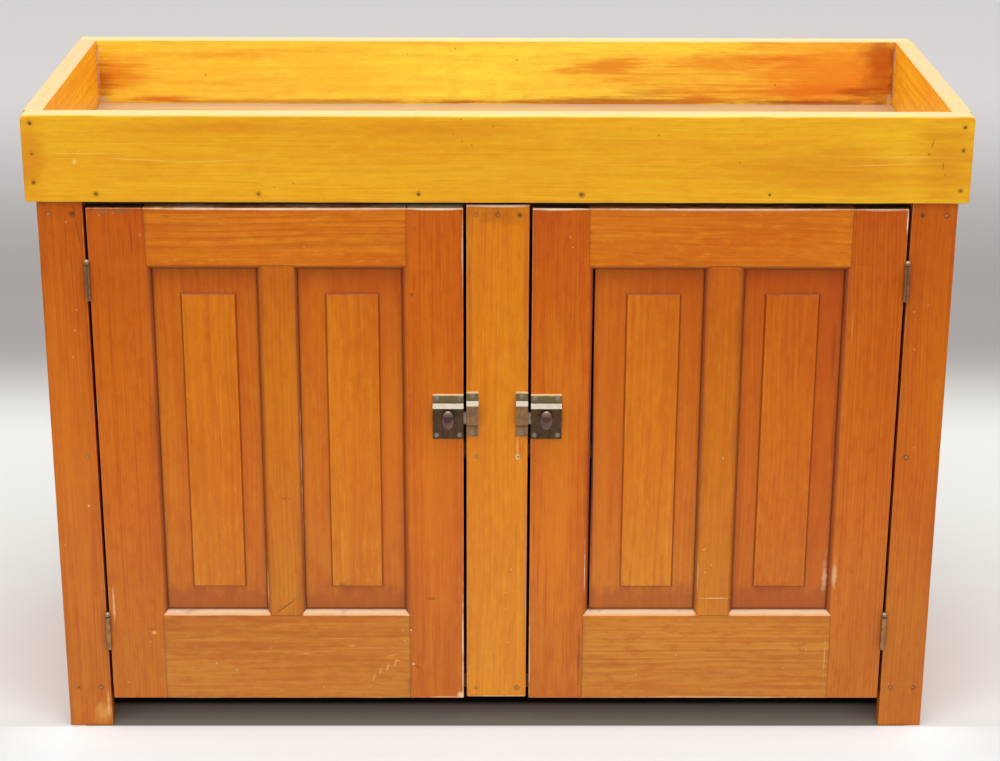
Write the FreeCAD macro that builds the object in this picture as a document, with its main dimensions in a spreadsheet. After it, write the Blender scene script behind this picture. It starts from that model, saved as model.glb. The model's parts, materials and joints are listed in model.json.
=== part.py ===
"""Dry sink cabinet: a nailed board case with two framed doors under an open tray.

Millimetres, +Z up, +X to the right seen from the front, +Y to the back.  The origin is on the
floor, under the middle of the whole cabinet.
"""
import FreeCAD, Part
import Sketcher
import math
import os
from types import SimpleNamespace

os.makedirs("parts", exist_ok=True)
doc = FreeCAD.newDocument("DrySinkCabinet")


# ---------------------------------------------------------------- driving dimensions

SIZES = (
    # the case
    ("case_width", 1192, "outside width over the two end stiles"),
    ("case_height", 760.5, "floor to the underside of the tray"),
    ("case_depth", 480, "front of the stiles to the back of the back boards"),
    ("side_thickness", 20, "side boards"),
    ("stile_width", 59, "end stiles, nailed on the side boards' front edges"),
    ("stile_thickness", 22, "all three front stiles"),
    ("center_stile_width", 82, "stile between the doors"),
    ("center_stile_bottom", 45, "floor to the foot of the centre stile"),
    ("center_stile_top_gap", 4, "centre stile's top to the tray"),
    ("top_rail_height", 42, "rails under the tray, front and back"),
    ("top_rail_thickness", 20, "rails under the tray, front and back"),
    ("shelf_thickness", 20, "both shelves"),
    ("middle_shelf_bottom", 396, "floor to the underside of the middle shelf"),
    ("bottom_shelf_bottom", 49, "floor to the underside of the bottom shelf"),
    ("shelf_front_board", 250, "width of each shelf's front board"),
    ("board_gap", 0.8, "shrinkage gap between boards laid side by side"),
    ("dado_depth", 6, "how far the shelves are let into the sides"),
    ("back_thickness", 12, "back boards"),
    ("back_bottom", 40, "floor to the foot of the back boards"),
    ("rabbet_reach", 10, "how far the back boards are let into each side"),
    # the tray
    ("tray_side_overhang", 13.5, "tray past the case at each end"),
    ("tray_front_overhang", 3, "tray past the stiles"),
    ("tray_back_overhang", 3, "tray past the back boards"),
    ("tray_height", 115.5, "tray boards"),
    ("tray_board_thickness", 25.4, "tray boards"),
    ("tray_floor_thickness", 22, "boards of the tray's floor"),
    ("tray_floor_front_board", 238, "width of the floor's front board"),
    ("tray_corner_radius", 6, "worn corners of the tray's front and back boards"),
    # the doors
    ("door_gap", 4, "door to the stile on each side"),
    ("door_bottom", 43, "floor to the foot of the doors"),
    ("door_top_gap", 8.5, "doors' top to the tray"),
    ("door_back_gap", 0.5, "back of the doors to the shelves' front edges"),
    ("door_stile_width", 80, "door stiles, with their moulded edge"),
    ("door_top_rail_width", 83, "top rail, with its moulded edge"),
    ("door_bottom_rail_width", 133, "bottom rail, with its moulded edge"),
    ("mullion_width", 52, "upright between the panels, with its moulded edges"),
    ("right_mullion_shift", 9, "right door's mullion, from the middle toward the hinges"),
    ("right_hinge_stile_trim", 3, "right door's hinge stile, narrower than the other stiles"),
    ("sticking", 6, "width and depth of the moulded edge round each panel"),
    ("panel_recess", 10, "door's face to the panel's margin"),
    ("panel_thickness", 6, "panel at its margin"),
    ("groove_depth", 9, "groove for the panel"),
    ("panel_edge_gap", 1, "panel's edge to the bottom of its groove"),
    ("panel_play", 0.1, "clearance on each face of the panel in its groove"),
    ("panel_shrinkage", 3, "right inner panel short of the latch stile"),
    ("field_rise", 3, "raised field over the margin"),
    ("field_bevel", 1.5, "slope of the field's edge"),
    ("field_bottom_margin", 35, "bottom rail to the raised field"),
    ("field_top_margin", 36, "top rail to the raised field"),
    ("left_outer_hinge_margin", 37, "left door, outer panel, margin on the hinge side"),
    ("left_outer_latch_margin", 29, "left door, outer panel, margin on the latch side"),
    ("left_inner_hinge_margin", 37, "left door, inner panel, margin on the hinge side"),
    ("left_inner_latch_margin", 31, "left door, inner panel, margin on the latch side"),
    ("right_outer_hinge_margin", 32, "right door, outer panel, margin on the hinge side"),
    ("right_outer_latch_margin", 29, "right door, outer panel, margin on the latch side"),
    ("right_inner_hinge_margin", 31, "right door, inner panel, margin on the hinge side"),
    ("right_inner_latch_margin", 45, "right door, inner panel, margin on the latch side"),
    ("tenon_length", 45, "rail tenons in the stiles"),
    ("tenon_setback", 12, "outer edge of a rail to its tenon"),
    ("mullion_tenon_length", 15, "mullion's tenons in the rails"),
    ("mullion_tenon_width", 30, "mullion's tenons in the rails"),
    ("tenon_end_gap", 1, "tenon's end to the bottom of its mortise"),
    # the butt hinges
    ("hinge_height", 48, "height of each hinge"),
    ("upper_hinge_drop", 100.5, "door's top to the middle of the upper hinge"),
    ("lower_hinge_rise", 102, "door's foot to the middle of the lower hinge"),
    ("leaf_play", 0.4, "space between the two leaves of a closed hinge"),
    ("leaf_setback", 0.6, "face of the stile to the front edge of the leaves"),
    ("leaf_depth", 19, "front to back size of the leaves"),
    ("barrel_radius", 3.75, "hinge barrel"),
    ("barrel_sink", 0.25, "barrel's back behind the face of the stiles"),
    ("knuckle_gap", 0.2, "space between two knuckles"),
    ("pin_radius", 1.9, "hinge pin"),
    ("pin_play", 0.06, "pin in its knuckles, radial"),
    ("finial_radius", 4, "ball on the head of the pin"),
    # screws
    ("screw_head_radius", 3.1, "countersunk head"),
    ("screw_head_depth", 1.5, "countersunk head"),
    ("screw_shank_radius", 1.5, "shank"),
    ("screw_length", 14, "whole screw"),
    ("slot_width", 0.8, "slot of a screw"),
    ("slot_depth", 0.7, "slot of a screw"),
    ("hinge_screw_spread", 16.5, "middle screw of a leaf to the next one"),
    ("hinge_screw_stagger", 3, "middle screw of a leaf behind the other two"),
    # the latches
    ("sheet_thickness", 1.5, "sheet of latch cases and keepers"),
    ("sheet_slant", 2, "the same sheet measured along the door on its sloped sides"),
    ("latch_plate_width", 41, "plate of the latch case"),
    ("latch_plate_height", 63.5, "plate of the latch case"),
    ("latch_center", 464.5, "floor to the middle of the latch plates"),
    ("latch_box_base", 40, "height of the case's raised box at the plate"),
    ("latch_box_face", 27, "height of the case's raised box at its face"),
    ("latch_box_depth", 8, "raised box, front to back"),
    ("latch_screw_inset_x", 5, "plate's edge to its screws"),
    ("latch_screw_inset_z", 5.5, "plate's end to its screws"),
    ("spindle_drop", 1, "knob's axis below the middle of the plate"),
    ("spindle_radius", 3, "neck of the knob"),
    ("spindle_play", 0.08, "neck in the case, radial"),
    ("knob_width", 17, "oval knob"),
    ("knob_height", 27, "oval knob"),
    ("knob_thickness", 8.5, "oval knob"),
    ("knob_gap", 1.5, "knob to the face of the case"),
    ("crank_radius", 7, "knob's axis to the crank pin"),
    ("crank_turn", 60, "degrees that the knob turns"),
    ("crank_pin_radius", 1.2, "crank pin"),
    ("crank_rim", 2, "crank disc past the crank pin's middle"),
    ("crank_thickness", 2, "crank disc"),
    ("crank_gap", 0.2, "crank disc to the inside of the case's face"),
    ("bolt_height", 16, "nose of the bolt"),
    ("bolt_thickness", 4.5, "nose of the bolt"),
    ("bolt_lift", 0.5, "bolt clear of the door's face"),
    ("bolt_rest_gap", 0.5, "drawn bolt to the edge of the centre stile"),
    ("bolt_stop_gap", 0.5, "thrown bolt's tail plate to the inside of the case"),
    ("bolt_play", 0.2, "bolt in the slot of its case"),
    ("tail_height", 22, "thin plate behind the bolt's nose"),
    ("tail_thickness", 2, "thin plate behind the bolt's nose"),
    ("tail_end", 4, "plate past the slot for the crank pin"),
    ("crank_pin_play", 0.3, "crank pin in the slot of the bolt"),
    ("keeper_width", 16, "keepers on the centre stile"),
    ("keeper_height", 63, "keepers on the centre stile"),
    ("keeper_raise", 3.5, "middle of the keepers above the middle of the latch plates"),
    ("keeper_depth", 7.5, "raised box of the keeper"),
    # nails
    ("nail_head", 5, "side of the square head"),
    ("nail_head_thickness", 1.2, "head, let in flush"),
    ("nail_shank", 3, "side of the shank under the head"),
    ("nail_point", 1.4, "side of the shank at its end"),
    ("case_nail_length", 38, "nails of the stiles and sides"),
    ("tray_nail_length", 52, "nails of the tray"),
    ("back_nail_length", 29, "nails of the back boards"),
    ("stile_nail_outer", 14.5, "case's side to the nails in the side boards"),
    ("stile_nail_inner", 45.5, "case's side to the nails in the shelves and rail"),
    ("center_nail_offset", 28.5, "middle of the centre stile to its outer nails"),
    ("top_nail_drop", 17, "case's top to the uppermost nails"),
    ("side_nail_front", 90, "stiles' face to the first nail of a shelf's end"),
    ("side_nail_pitch", 150, "nail to nail along a shelf's end"),
    ("back_nail_inset", 45, "edge of a back board to its nails"),
    ("tray_left_nail_high", 103.5, "tray's underside to the left end's upper nail"),
    ("tray_left_nail_middle", 63, "tray's underside to the left end's middle nail"),
    ("tray_left_nail_low", 25.5, "tray's underside to the left end's lower nail"),
    ("tray_right_nail_high", 100.5, "tray's underside to the right end's upper nail"),
    ("tray_right_nail_middle", 70, "tray's underside to the right end's middle nail"),
    ("tray_right_nail_low", 17, "tray's underside to the right end's lower nail"),
    ("floor_nail_1", 92, "tray's left end to the first nail of its floor"),
    ("floor_nail_2", 301, "tray's left end to the second nail of its floor"),
    ("floor_nail_3", 507, "tray's left end to the third nail of its floor"),
    ("floor_nail_4", 717, "tray's left end to the fourth nail of its floor"),
    ("floor_nail_5", 960, "tray's left end to the fifth nail of its floor"),
)

sheet = doc.addObject("Spreadsheet::Sheet", "Sizes")
for row, (alias, number, meaning) in enumerate(SIZES, start=1):
    sheet.set(f"A{row}", meaning)
    sheet.set(f"B{row}", str(number))
    sheet.setAlias(f"B{row}", alias)
doc.recompute()


class Length:
    """A size as a number and as the expression on the sheet's cells that gives it."""

    def __init__(self, number, formula):
        self.number = number
        self.formula = formula

    def __add__(self, other):
        other = length(other)
        return Length(self.number + other.number, f"({self.formula} + {other.formula})")

    def __sub__(self, other):
        other = length(other)
        return Length(self.number - other.number, f"({self.formula} - {other.formula})")

    def __mul__(self, factor):
        factor = length(factor)
        return Length(self.number * factor.number, f"({self.formula} * {factor.formula})")

    def __truediv__(self, divisor):
        divisor = length(divisor)
        return Length(self.number / divisor.number, f"({self.formula} / {divisor.formula})")

    def __radd__(self, other):
        return length(other) + self

    def __rsub__(self, other):
        return length(other) - self

    __rmul__ = __mul__

    def __neg__(self):
        return 0 - self


def length(value):
    """A plain number or a Length, as a Length."""
    if isinstance(value, Length):
        return value
    return Length(float(value), f"({value})")


s = SimpleNamespace(**{
    alias: Length(float(sheet.get(alias)), f"Sizes.{alias}") for alias, number, meaning in SIZES
})


# ---------------------------------------------------------------- sizes that follow

LEFT, RIGHT = -1, 1
SIDE_NAMES = {LEFT: "left", RIGHT: "right"}

# across the case, as distances from its middle
case_half = s.case_width / 2
side_inner = case_half - s.side_thickness
stile_inner = case_half - s.stile_width
center_stile_half = s.center_stile_width / 2
tray_half = case_half + s.tray_side_overhang
tray_inner_half = tray_half - s.tray_board_thickness
back_half = side_inner + s.rabbet_reach

# front to back
knob_reach = s.latch_box_depth + s.knob_gap + s.knob_thickness
tray_depth = s.case_depth + s.tray_front_overhang + s.tray_back_overhang
front = (knob_reach + s.tray_front_overhang - tray_depth) / 2
tray_front = front - s.tray_front_overhang
tray_back = tray_front + tray_depth
frame_back = front + s.stile_thickness
case_back = front + s.case_depth
back_front = case_back - s.back_thickness

# doors, as distances from the cabinet's middle and heights over the floor
door_latch_edge = center_stile_half + s.door_gap
door_hinge_edge = stile_inner - s.door_gap
door_back = frame_back - s.door_back_gap
door_top = s.case_height - s.door_top_gap
flat_stile = s.door_stile_width - s.sticking
door_middle = (door_latch_edge + door_hinge_edge) / 2
mullion_middles = {LEFT: door_middle, RIGHT: door_middle + s.right_mullion_shift}
hinge_line = door_hinge_edge - flat_stile
hinge_lines = {LEFT: hinge_line, RIGHT: hinge_line + s.right_hinge_stile_trim}
opening_bottom = s.door_bottom + s.door_bottom_rail_width
opening_top = door_top - s.door_top_rail_width
openings = {
    side: {
        "inner": (door_latch_edge + s.door_stile_width, middle - s.mullion_width / 2),
        "outer": (middle + s.mullion_width / 2, hinge_lines[side] - s.sticking),
    }
    for side, middle in mullion_middles.items()
}
panel_front = front + s.panel_recess
panel_back = panel_front + s.panel_thickness

# hinges
leaf_thickness = (s.door_gap - s.leaf_play) / 2
leaf_front = front + s.leaf_setback
leaf_back = leaf_front + s.leaf_depth
barrel_x = (stile_inner + door_hinge_edge) / 2
barrel_y = front - s.barrel_radius + s.barrel_sink
hinge_middles = {
    "upper": door_top - s.upper_hinge_drop,
    "lower": s.door_bottom + s.lower_hinge_rise,
}
KNUCKLES = 5

# latches
spindle_x = door_latch_edge + s.latch_plate_width / 2
spindle_z = s.latch_center - s.spindle_drop
plate_face = front - s.sheet_thickness
box_face = front - s.latch_box_depth
box_face_inside = box_face + s.sheet_thickness
crank_front = box_face_inside + s.crank_gap
keeper_middle = s.latch_center + s.keeper_raise

# nails
top_nail_z = s.case_height - s.top_nail_drop
middle_nail_z = s.middle_shelf_bottom + s.shelf_thickness / 2
bottom_nail_z = s.bottom_shelf_bottom + s.shelf_thickness / 2
SHELF_END_NAILS = 3


# ---------------------------------------------------------------- how pieces are made

X, Y, Z = (FreeCAD.Vector(1, 0, 0), FreeCAD.Vector(0, 1, 0), FreeCAD.Vector(0, 0, 1))
nodes = []


def bind(piece, prop, value):
    """Ties one property of a piece to the sheet."""
    piece.setExpression(prop, length(value).formula)


def vector(x, y, z):
    return FreeCAD.Vector(length(x).number, length(y).number, length(z).number)


def put(piece, x, y, z, rotation=None):
    """Places a piece, its position tied to the sheet."""
    piece.Placement = FreeCAD.Placement(vector(x, y, z), rotation or FreeCAD.Rotation())
    for axis, value in zip("xyz", (x, y, z)):
        bind(piece, f".Placement.Base.{axis}", value)


def across(side, inner, outer):
    """Lowest and highest x of what lies between two distances from the middle, on one side."""
    if side == RIGHT:
        return inner, outer
    return -length(outer), -length(inner)


def block(name, x, y, z):
    """A square-edged board or bar; x, y and z are its lowest and highest coordinates."""
    piece = doc.addObject("Part::Box", name)
    for prop, (low, high) in zip(("Length", "Width", "Height"), (x, y, z)):
        bind(piece, prop, high - low)
    put(piece, x[0], y[0], z[0])
    return piece


def rod(name, radius, start, run, direction):
    """A round bar from a point along a direction."""
    piece = doc.addObject("Part::Cylinder", name)
    bind(piece, "Radius", radius)
    bind(piece, "Height", run)
    put(piece, *start, FreeCAD.Rotation(Z, direction))
    return piece


def taper(name, start, toward, run, near_x, near_z, far_x, far_z):
    """A block that runs from start towards a direction and whose section changes on the way.

    Its own z is the cabinet's y where it runs along x or z, and the cabinet's -z where it runs
    along -y; its section is given by the lowest and highest x and z at both ends.
    """
    piece = doc.addObject("Part::Wedge", name)
    section = {
        "Ymin": length(0), "Ymax": run,
        "Xmin": near_x[0], "Xmax": near_x[1], "Zmin": near_z[0], "Zmax": near_z[1],
        "X2min": far_x[0], "X2max": far_x[1], "Z2min": far_z[0], "Z2max": far_z[1],
    }
    for prop, value in section.items():
        setattr(piece, prop, length(value).number)
    for prop, value in section.items():
        bind(piece, prop, value)
    own_z = -Z if abs(toward.y) > 0.5 else Y
    put(piece, *start, FreeCAD.Rotation(toward.cross(own_z), toward, own_z, "XYZ"))
    return piece


def join(name, pieces):
    """Pieces made as one."""
    whole = doc.addObject("Part::MultiFuse", name)
    whole.Shapes = pieces
    return whole


def cut(name, piece, tool):
    """What is left of a piece when a tool has gone through it."""
    rest = doc.addObject("Part::Cut", name)
    rest.Base = piece
    rest.Tool = tool
    return rest


def group(name, pieces):
    """Separate solids kept under one name."""
    whole = doc.addObject("Part::Compound", name)
    whole.Links = pieces
    return whole


def node(piece):
    """Marks a finished sub-part: its label names its file."""
    piece.Label = piece.Name
    nodes.append(piece)
    return piece


def scatter(name, fastener, spots):
    """Equal fasteners, one at each spot: a point on the face and the way it is driven."""
    doc.recompute()
    solids = []
    for point, way in spots:
        solid = fastener.Shape.copy()
        solid.Placement = FreeCAD.Placement(
            vector(*point) - vector(0, front, 0), FreeCAD.Rotation(Y, way))
        solids.append(solid)
    piece = doc.addObject("Part::Feature", name)
    piece.Shape = Part.makeCompound(solids)
    piece.Placement = FreeCAD.Placement(vector(0, front, 0), FreeCAD.Rotation())
    return piece


# ---------------------------------------------------------------- nails

def make_nail(name, run):
    """A cut nail driven towards +y: a square head let in flush, and a tapered shank."""
    half_head = s.nail_head / 2
    half_shank = s.nail_shank / 2
    half_point = s.nail_point / 2
    head = block(f"{name}_head", (-half_head, half_head), (length(0), s.nail_head_thickness),
                 (-half_head, half_head))
    wide = (-half_shank, half_shank)
    narrow = (-half_point, half_point)
    shank = taper(f"{name}_shank", (0, s.nail_head_thickness / 2, 0), Y,
                  run - s.nail_head_thickness / 2, wide, wide, narrow, narrow)
    return join(name, [head, shank])


def stile_nail_spots():
    """Nails through the three front stiles."""
    spots = []
    for side in (LEFT, RIGHT):
        outer_x = side * (case_half - s.stile_nail_outer)
        inner_x = side * (case_half - s.stile_nail_inner)
        for x, z in ((outer_x, top_nail_z), (inner_x, top_nail_z), (inner_x, middle_nail_z),
                     (outer_x, bottom_nail_z), (inner_x, bottom_nail_z)):
            spots.append(((x, front, z), Y))
        for z in (top_nail_z, middle_nail_z, bottom_nail_z):
            spots.append(((side * s.center_nail_offset, front, z), Y))
    spots.append(((0, front, top_nail_z), Y))
    return spots


def side_nail_spots():
    """Nails through the side boards into the shelves' ends."""
    spots = []
    for side in (LEFT, RIGHT):
        for z in (middle_nail_z, bottom_nail_z):
            for step in range(SHELF_END_NAILS):
                y = front + s.side_nail_front + step * s.side_nail_pitch
                spots.append(((side * case_half, y, z), -side * X))
    return spots


def tray_nail_spots():
    """Nails through the tray's front and back boards into its ends and its floor."""
    spots = []
    end_x = tray_half - s.tray_board_thickness / 2
    heights = {
        LEFT: (s.tray_left_nail_high, s.tray_left_nail_middle, s.tray_left_nail_low),
        RIGHT: (s.tray_right_nail_high, s.tray_right_nail_middle, s.tray_right_nail_low),
    }
    floor_z = s.case_height + s.tray_floor_thickness / 2
    for y, way in ((tray_front, Y), (tray_back, -Y)):
        for side in (LEFT, RIGHT):
            for height in heights[side]:
                spots.append(((side * end_x, y, s.case_height + height), way))
        for place in (s.floor_nail_1, s.floor_nail_2, s.floor_nail_3, s.floor_nail_4,
                      s.floor_nail_5):
            spots.append(((place - tray_half, y, floor_z), way))
    return spots


case_nail = make_nail("case_nail", s.case_nail_length)
tray_nail = make_nail("tray_nail", s.tray_nail_length)
back_nail = make_nail("back_nail", s.back_nail_length)
case_nails = node(scatter("case_nails", case_nail, stile_nail_spots() + side_nail_spots()))
tray_nails = node(scatter("tray_nails", tray_nail, tray_nail_spots()))

BACK_BOARDS = 5
back_pitch = (2 * back_half + s.board_gap) / BACK_BOARDS
back_lefts = [step * back_pitch - back_half for step in range(BACK_BOARDS)]
back_spots = []
for left in back_lefts:
    for x in (left + s.back_nail_inset, left + back_pitch - s.board_gap - s.back_nail_inset):
        for z in (top_nail_z, middle_nail_z, bottom_nail_z):
            back_spots.append(((x, case_back, z), -Y))
back_nails = node(scatter("back_nails", back_nail, back_spots))
shelf_nails = group("shelf_nails", [case_nails, back_nails])


# ---------------------------------------------------------------- screws

def make_screw_blank():
    """A countersunk wood screw without its slot, driven towards +y."""
    head = doc.addObject("Part::Cone", "screw_head")
    bind(head, "Radius1", s.screw_head_radius)
    bind(head, "Radius2", s.screw_shank_radius)
    bind(head, "Height", s.screw_head_depth)
    put(head, 0, 0, 0, FreeCAD.Rotation(Z, Y))
    shank = rod("screw_shank", s.screw_shank_radius, (0, s.screw_head_depth, 0),
                s.screw_length - s.screw_head_depth, Y)
    return join("screw_blank", [head, shank])


screw_blank = make_screw_blank()
screw_slot = block("screw_slot", (-s.screw_head_radius, s.screw_head_radius),
                   (-s.slot_depth, s.slot_depth), (-s.slot_width / 2, s.slot_width / 2))
screw = cut("screw", screw_blank, screw_slot)


def screws(name, spots):
    """The screws themselves, and the solid shape of the holes they stand in."""
    return node(scatter(name, screw, spots)), scatter(f"{name}_holes", screw_blank, spots)


def hinge_screw_spots(side, level, leaf_face, way):
    """Three screws through one leaf; leaf_face is the distance of its face from the middle."""
    middle_y = (leaf_front + leaf_back) / 2
    middle_z = hinge_middles[level]
    spots = []
    for step in (-1, 0, 1):
        y = middle_y + (s.hinge_screw_stagger if step == 0 else -s.hinge_screw_stagger)
        spots.append(((side * leaf_face, y, middle_z + step * s.hinge_screw_spread), way))
    return spots


frame_leaf_face = stile_inner - leaf_thickness
door_leaf_face = door_hinge_edge + leaf_thickness
frame_spots = []
for side in (LEFT, RIGHT):
    for level in hinge_middles:
        frame_spots += hinge_screw_spots(side, level, frame_leaf_face, side * X)
frame_hinge_screws, frame_screw_holes = screws("frame_hinge_screws", frame_spots)

keeper_x = center_stile_half - s.keeper_width / 2
keeper_screw_reach = s.keeper_height / 2 - s.latch_screw_inset_z
keeper_spots = []
for side in (LEFT, RIGHT):
    for end in (-1, 1):
        keeper_spots.append(
            ((side * keeper_x, plate_face, keeper_middle + end * keeper_screw_reach), Y))
keeper_screws, keeper_screw_holes = screws("keeper_screws", keeper_spots)


# ---------------------------------------------------------------- the case

def make_case():
    """Sides, stiles, rails, shelves and back boards."""
    inside_x = (-side_inner, side_inner)
    shelf_x = (-side_inner - s.dado_depth, side_inner + s.dado_depth)
    shelf_levels = {"middle": s.middle_shelf_bottom, "bottom": s.bottom_shelf_bottom}
    dadoes = []
    for level, low in shelf_levels.items():
        z = (low, low + s.shelf_thickness)
        dadoes.append(block(f"{level}_dado", shelf_x, (frame_back, back_front), z))
        split = frame_back + s.shelf_front_board
        front_board = block(f"{level}_shelf_front_blank", shelf_x, (frame_back, split), z)
        back_board = block(f"{level}_shelf_back_blank", shelf_x,
                           (split + s.board_gap, back_front), z)
        node(cut(f"{level}_shelf_front", front_board, case_nails))
        node(cut(f"{level}_shelf_back", back_board, shelf_nails))
    rabbet = block("back_rabbet", (-back_half, back_half), (back_front, case_back),
                   (length(0), s.case_height))
    for side in (LEFT, RIGHT):
        name = SIDE_NAMES[side]
        blank = block(f"{name}_side_blank", across(side, side_inner, case_half),
                      (frame_back, case_back), (length(0), s.case_height))
        housed = cut(f"{name}_side_housed", blank, join(f"{name}_side_cuts", dadoes + [rabbet]))
        node(cut(f"{name}_side_board", housed, case_nails))
        stile = block(f"{name}_stile_blank", across(side, stile_inner, case_half),
                      (front, frame_back), (length(0), s.case_height))
        nailed = cut(f"{name}_stile_nailed", stile, case_nails)
        node(cut(f"{name}_front_stile", nailed, frame_screw_holes))
    stile = block("center_stile_blank", (-center_stile_half, center_stile_half),
                  (front, frame_back),
                  (s.center_stile_bottom, s.case_height - s.center_stile_top_gap))
    nailed = cut("center_stile_nailed", stile, case_nails)
    node(cut("center_stile", nailed, keeper_screw_holes))
    rail_z = (s.case_height - s.top_rail_height, s.case_height)
    front_rail = block("top_front_rail_blank", inside_x,
                       (frame_back, frame_back + s.top_rail_thickness), rail_z)
    back_rail = block("top_back_rail_blank", inside_x,
                      (back_front - s.top_rail_thickness, back_front), rail_z)
    node(cut("top_front_rail", front_rail, case_nails))
    node(cut("top_back_rail", back_rail, back_nails))
    for number, left in enumerate(back_lefts, start=1):
        board = block(f"back_board_{number}_blank", (left, left + back_pitch - s.board_gap),
                      (back_front, case_back), (s.back_bottom, s.case_height))
        node(cut(f"back_board_{number}", board, back_nails))


make_case()


# ---------------------------------------------------------------- the tray

def worn_board(name, y):
    """A long tray board: a sketched rectangle, padded to its thickness, with worn corners."""
    body = doc.addObject("PartDesign::Body", name)
    plane = next(part for part in body.Origin.OriginFeatures if part.Role == "XZ_Plane")
    outline = body.newObject("Sketcher::SketchObject", f"{name}_outline")
    outline.AttachmentSupport = [(plane, "")]
    outline.MapMode = "FlatFace"
    corners = [FreeCAD.Vector(x.number, z.number, 0) for x, z in (
        (-tray_half, length(0)), (tray_half, length(0)),
        (tray_half, s.tray_height), (-tray_half, s.tray_height))]
    for start, end in zip(corners, corners[1:] + corners[:1]):
        outline.addGeometry(Part.LineSegment(start, end), False)
    for edge in range(4):
        outline.addConstraint(Sketcher.Constraint("Coincident", edge, 2, (edge + 1) % 4, 1))
    for edge, way in ((0, "Horizontal"), (1, "Vertical"), (2, "Horizontal"), (3, "Vertical")):
        outline.addConstraint(Sketcher.Constraint(way, edge))
    outline.addConstraint(Sketcher.Constraint("Symmetric", 0, 1, 0, 2, -1, 1))
    for edge, size, word in ((0, 2 * tray_half, "board_length"), (1, s.tray_height, "board_height")):
        number = outline.addConstraint(Sketcher.Constraint("Distance", edge, size.number))
        outline.renameConstraint(number, word)
        outline.setExpression(f"Constraints.{word}", size.formula)
    pad = body.newObject("PartDesign::Pad", f"{name}_pad")
    pad.Profile = outline
    pad.Reversed = True
    bind(pad, "Length", s.tray_board_thickness)
    doc.recompute()
    corner_edges = [
        f"Edge{number}" for number, edge in enumerate(pad.Shape.Edges, start=1)
        if abs(edge.tangentAt(edge.FirstParameter).y) > 0.9]
    worn = body.newObject("PartDesign::Fillet", f"{name}_corners")
    worn.Base = (pad, corner_edges)
    bind(worn, "Radius", s.tray_corner_radius)
    body.Tip = worn
    put(body, 0, y, s.case_height)
    return body


def make_tray():
    """Four boards round a floor of two boards."""
    for name, y in (("tray_front", tray_front), ("tray_back", tray_back - s.tray_board_thickness)):
        node(cut(f"{name}_board", worn_board(f"{name}_blank", y), tray_nails))
    between_y = (tray_front + s.tray_board_thickness, tray_back - s.tray_board_thickness)
    for side in (LEFT, RIGHT):
        name = SIDE_NAMES[side]
        blank = block(f"tray_{name}_blank", across(side, tray_inner_half, tray_half), between_y,
                      (s.case_height, s.case_height + s.tray_height))
        node(cut(f"tray_{name}_board", blank, tray_nails))
    split = between_y[0] + s.tray_floor_front_board
    floor_x = (-tray_inner_half, tray_inner_half)
    floor_z = (s.case_height, s.case_height + s.tray_floor_thickness)
    for name, y in (("front", (between_y[0], split)), ("back", (split + s.board_gap, between_y[1]))):
        blank = block(f"tray_floor_{name}_blank", floor_x, y, floor_z)
        node(cut(f"tray_floor_{name}", blank, tray_nails))


make_tray()


# ---------------------------------------------------------------- the hinges

def knuckle_spans(level):
    """Bottom and top of each knuckle of a hinge, from the foot up."""
    foot = hinge_middles[level] - s.hinge_height / 2
    pitch = (s.hinge_height + s.knuckle_gap) / KNUCKLES
    return [(foot + step * pitch, foot + (step + 1) * pitch - s.knuckle_gap)
            for step in range(KNUCKLES)]


def make_leaf(name, side, level, plate, spans):
    """A hinge leaf: a plate in the gap, and knuckles that a strap joins to its front edge."""
    middle = hinge_middles[level]
    pieces = [block(f"{name}_plate", across(side, *plate), (leaf_front, leaf_back),
                    (middle - s.hinge_height / 2, middle + s.hinge_height / 2))]
    for number, span in enumerate(spans):
        pieces.append(block(f"{name}_strap_{number}", across(side, *plate),
                            (barrel_y, leaf_front), span))
        pieces.append(rod(f"{name}_knuckle_{number}", s.barrel_radius,
                          (side * barrel_x, barrel_y, span[0]), span[1] - span[0], Z))
    foot = middle - s.hinge_height / 2
    bore = rod(f"{name}_bore", s.pin_radius + s.pin_play, (side * barrel_x, barrel_y, foot),
               s.hinge_height, Z)
    return cut(f"{name}_bored", join(f"{name}_blank", pieces), bore)


def make_pin(name, side, level):
    """A pin through all knuckles, with a ball on its head."""
    middle = hinge_middles[level]
    foot = middle - s.hinge_height / 2
    shaft = rod(f"{name}_shaft", s.pin_radius, (side * barrel_x, barrel_y, foot),
                s.hinge_height + s.finial_radius, Z)
    ball = doc.addObject("Part::Sphere", f"{name}_ball")
    bind(ball, "Radius", s.finial_radius)
    put(ball, side * barrel_x, barrel_y, foot + s.hinge_height + s.finial_radius)
    return join(name, [shaft, ball])


def make_hinges():
    """Frame leaves and pins; the doors' leaves are made with the doors."""
    pins = []
    for side in (LEFT, RIGHT):
        name = SIDE_NAMES[side]
        leaves = []
        for level in hinge_middles:
            leaf = make_leaf(f"{name}_{level}_frame_leaf", side, level,
                             (frame_leaf_face, stile_inner), knuckle_spans(level)[0::2])
            leaves.append(cut(f"{name}_{level}_frame_leaf_drilled", leaf, frame_screw_holes))
            pins.append(make_pin(f"{name}_{level}_pin", side, level))
        node(group(f"{name}_frame_leaves", leaves))
    node(group("hinge_pins", pins))


make_hinges()


# ---------------------------------------------------------------- the doors

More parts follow.
